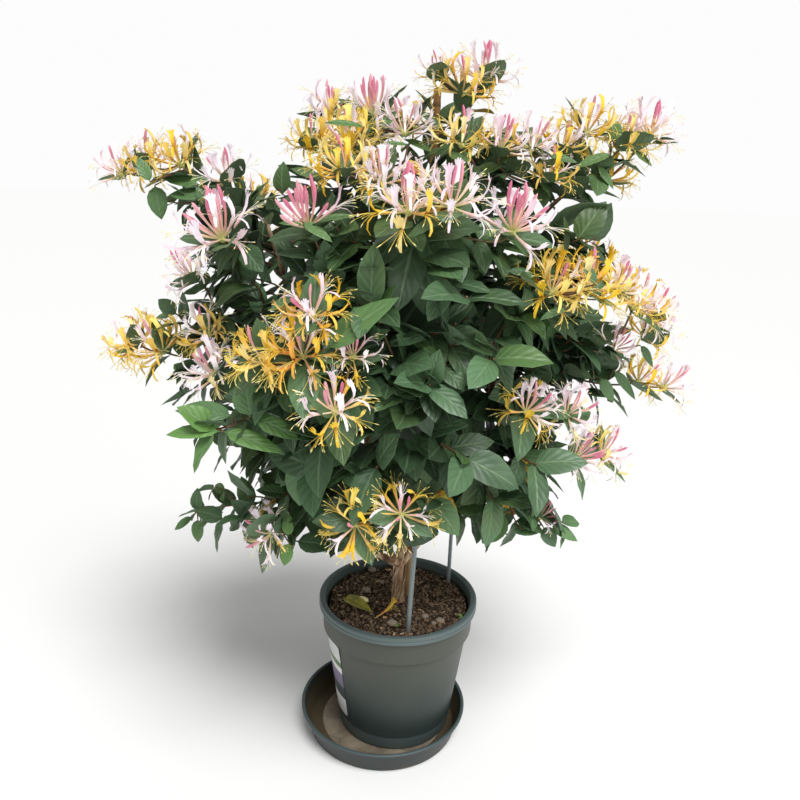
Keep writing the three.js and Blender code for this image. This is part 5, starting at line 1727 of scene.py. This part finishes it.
class HONEYSUCKLE_OT_stage(bpy.types.Operator):
    """Add the floor, the lights and the camera"""
    bl_idname = "honeysuckle.stage"
    bl_label = "Stage"

    def execute(self, context):
        stage = context.scene.honeysuckle_stage
        bm = bmesh.new()
        bmesh.ops.create_circle(bm, cap_ends=True, segments=ROUND, radius=30)
        bmesh.ops.translate(bm, verts=bm.verts[:], vec=(0, 0, -0.0005))
        floor = new_object("floor", kept_mesh(bm, "floor"))
        floor.data.materials.append(Shader("Pale floor").finish(stage.floor, 0.9, Specular_IOR_Level=0.1))
        self.add_lamp("key", "SUN", (0, 0, 0), (-0.25, 0.5, -1), stage.key, angle=math.radians(28))
        self.add_lamp("fill", "AREA", (1.9, -1.7, 1.5), (0, 0, 0.55), stage.fill, shape="DISK", size=1.6)
        context.scene.view_settings.view_transform = "Standard"
        self.add_room(context.scene, stage)
        self.add_camera(context.scene)
        return {"FINISHED"}

    def add_lamp(self, name, kind, place, aim, energy, **settings):
        """A soft light that looks at its aim."""
        light = bpy.data.lights.new(name, kind)
        light.energy = energy
        for key, value in settings.items():
            setattr(light, key, value)
        lamp = new_object(name, light)
        lamp.location = place
        lamp.rotation_euler = (Vector(aim) - Vector(place)).to_track_quat("-Z", "Y").to_euler()

    def add_room(self, scene, stage):
        """Even white light, with a brighter backdrop where the camera looks past the floor."""
        world = bpy.data.worlds.new("Room")
        world.use_nodes = True
        tree = world.node_tree
        seen = tree.nodes.new("ShaderNodeLightPath")
        strength = tree.nodes.new("ShaderNodeMapRange")
        strength.inputs["To Min"].default_value = stage.room
        strength.inputs["To Max"].default_value = stage.backdrop
        background = tree.nodes["Background"]
        background.inputs["Color"].default_value = (1, 1, 1, 1)
        tree.links.new(seen.outputs["Is Camera Ray"], strength.inputs["Value"])
        tree.links.new(strength.outputs["Result"], background.inputs["Strength"])
        scene.world = world

    def add_camera(self, scene):
        """From the front and a little above, turned by two degrees about its own line of sight."""
        pitch, roll, yaw = 0.2901, 0.0344, -0.0071
        forward = Vector((math.sin(yaw) * math.cos(pitch), math.cos(yaw) * math.cos(pitch), -math.sin(pitch)))
        level = Vector((math.cos(yaw), -math.sin(yaw), 0))
        upward = level.cross(forward)
        right = level * math.cos(roll) + upward * math.sin(roll)
        over = upward * math.cos(roll) - level * math.sin(roll)
        lens = bpy.data.cameras.new("camera")
        lens.sensor_width = 36
        lens.lens = 33.96
        scene.camera = new_object("camera", lens)
        scene.camera.matrix_world = placed(right, over, -forward, (0, -1.1523, 0.9381))


OPERATORS = (
    HONEYSUCKLE_OT_saucer, HONEYSUCKLE_OT_pot, HONEYSUCKLE_OT_label, HONEYSUCKLE_OT_soil,
    HONEYSUCKLE_OT_supports, HONEYSUCKLE_OT_trunk, HONEYSUCKLE_OT_branches, HONEYSUCKLE_OT_blooms,
    HONEYSUCKLE_OT_loose, HONEYSUCKLE_OT_stage,
)


class HONEYSUCKLE_PT_panel(bpy.types.Panel):
    """The pieces of the potted honeysuckle and their settings"""
    bl_idname = "HONEYSUCKLE_PT_panel"
    bl_label = "Honeysuckle"
    bl_space_type = "VIEW_3D"
    bl_region_type = "UI"
    bl_category = "Honeysuckle"

    def draw(self, context):
        for name, settings in SETTINGS.items():
            box = self.layout.box()
            for key in settings.__annotations__:
                box.prop(getattr(context.scene, name), key)
        for operator in OPERATORS:
            self.layout.operator(operator.bl_idname)


def register():
    for cls in (*SETTINGS.values(), *OPERATORS, HONEYSUCKLE_PT_panel):
        bpy.utils.register_class(cls)
    for name, settings in SETTINGS.items():
        setattr(bpy.types.Scene, name, PointerProperty(type=settings))


def unregister():
    for name in SETTINGS:
        delattr(bpy.types.Scene, name)
    for cls in (HONEYSUCKLE_PT_panel, *reversed(OPERATORS), *reversed(SETTINGS.values())):
        bpy.utils.unregister_class(cls)


def main():
    register()
    for operator in OPERATORS:
        group, name = operator.bl_idname.split(".")
        getattr(getattr(bpy.ops, group), name)()


if __name__ == "__main__":
    main()
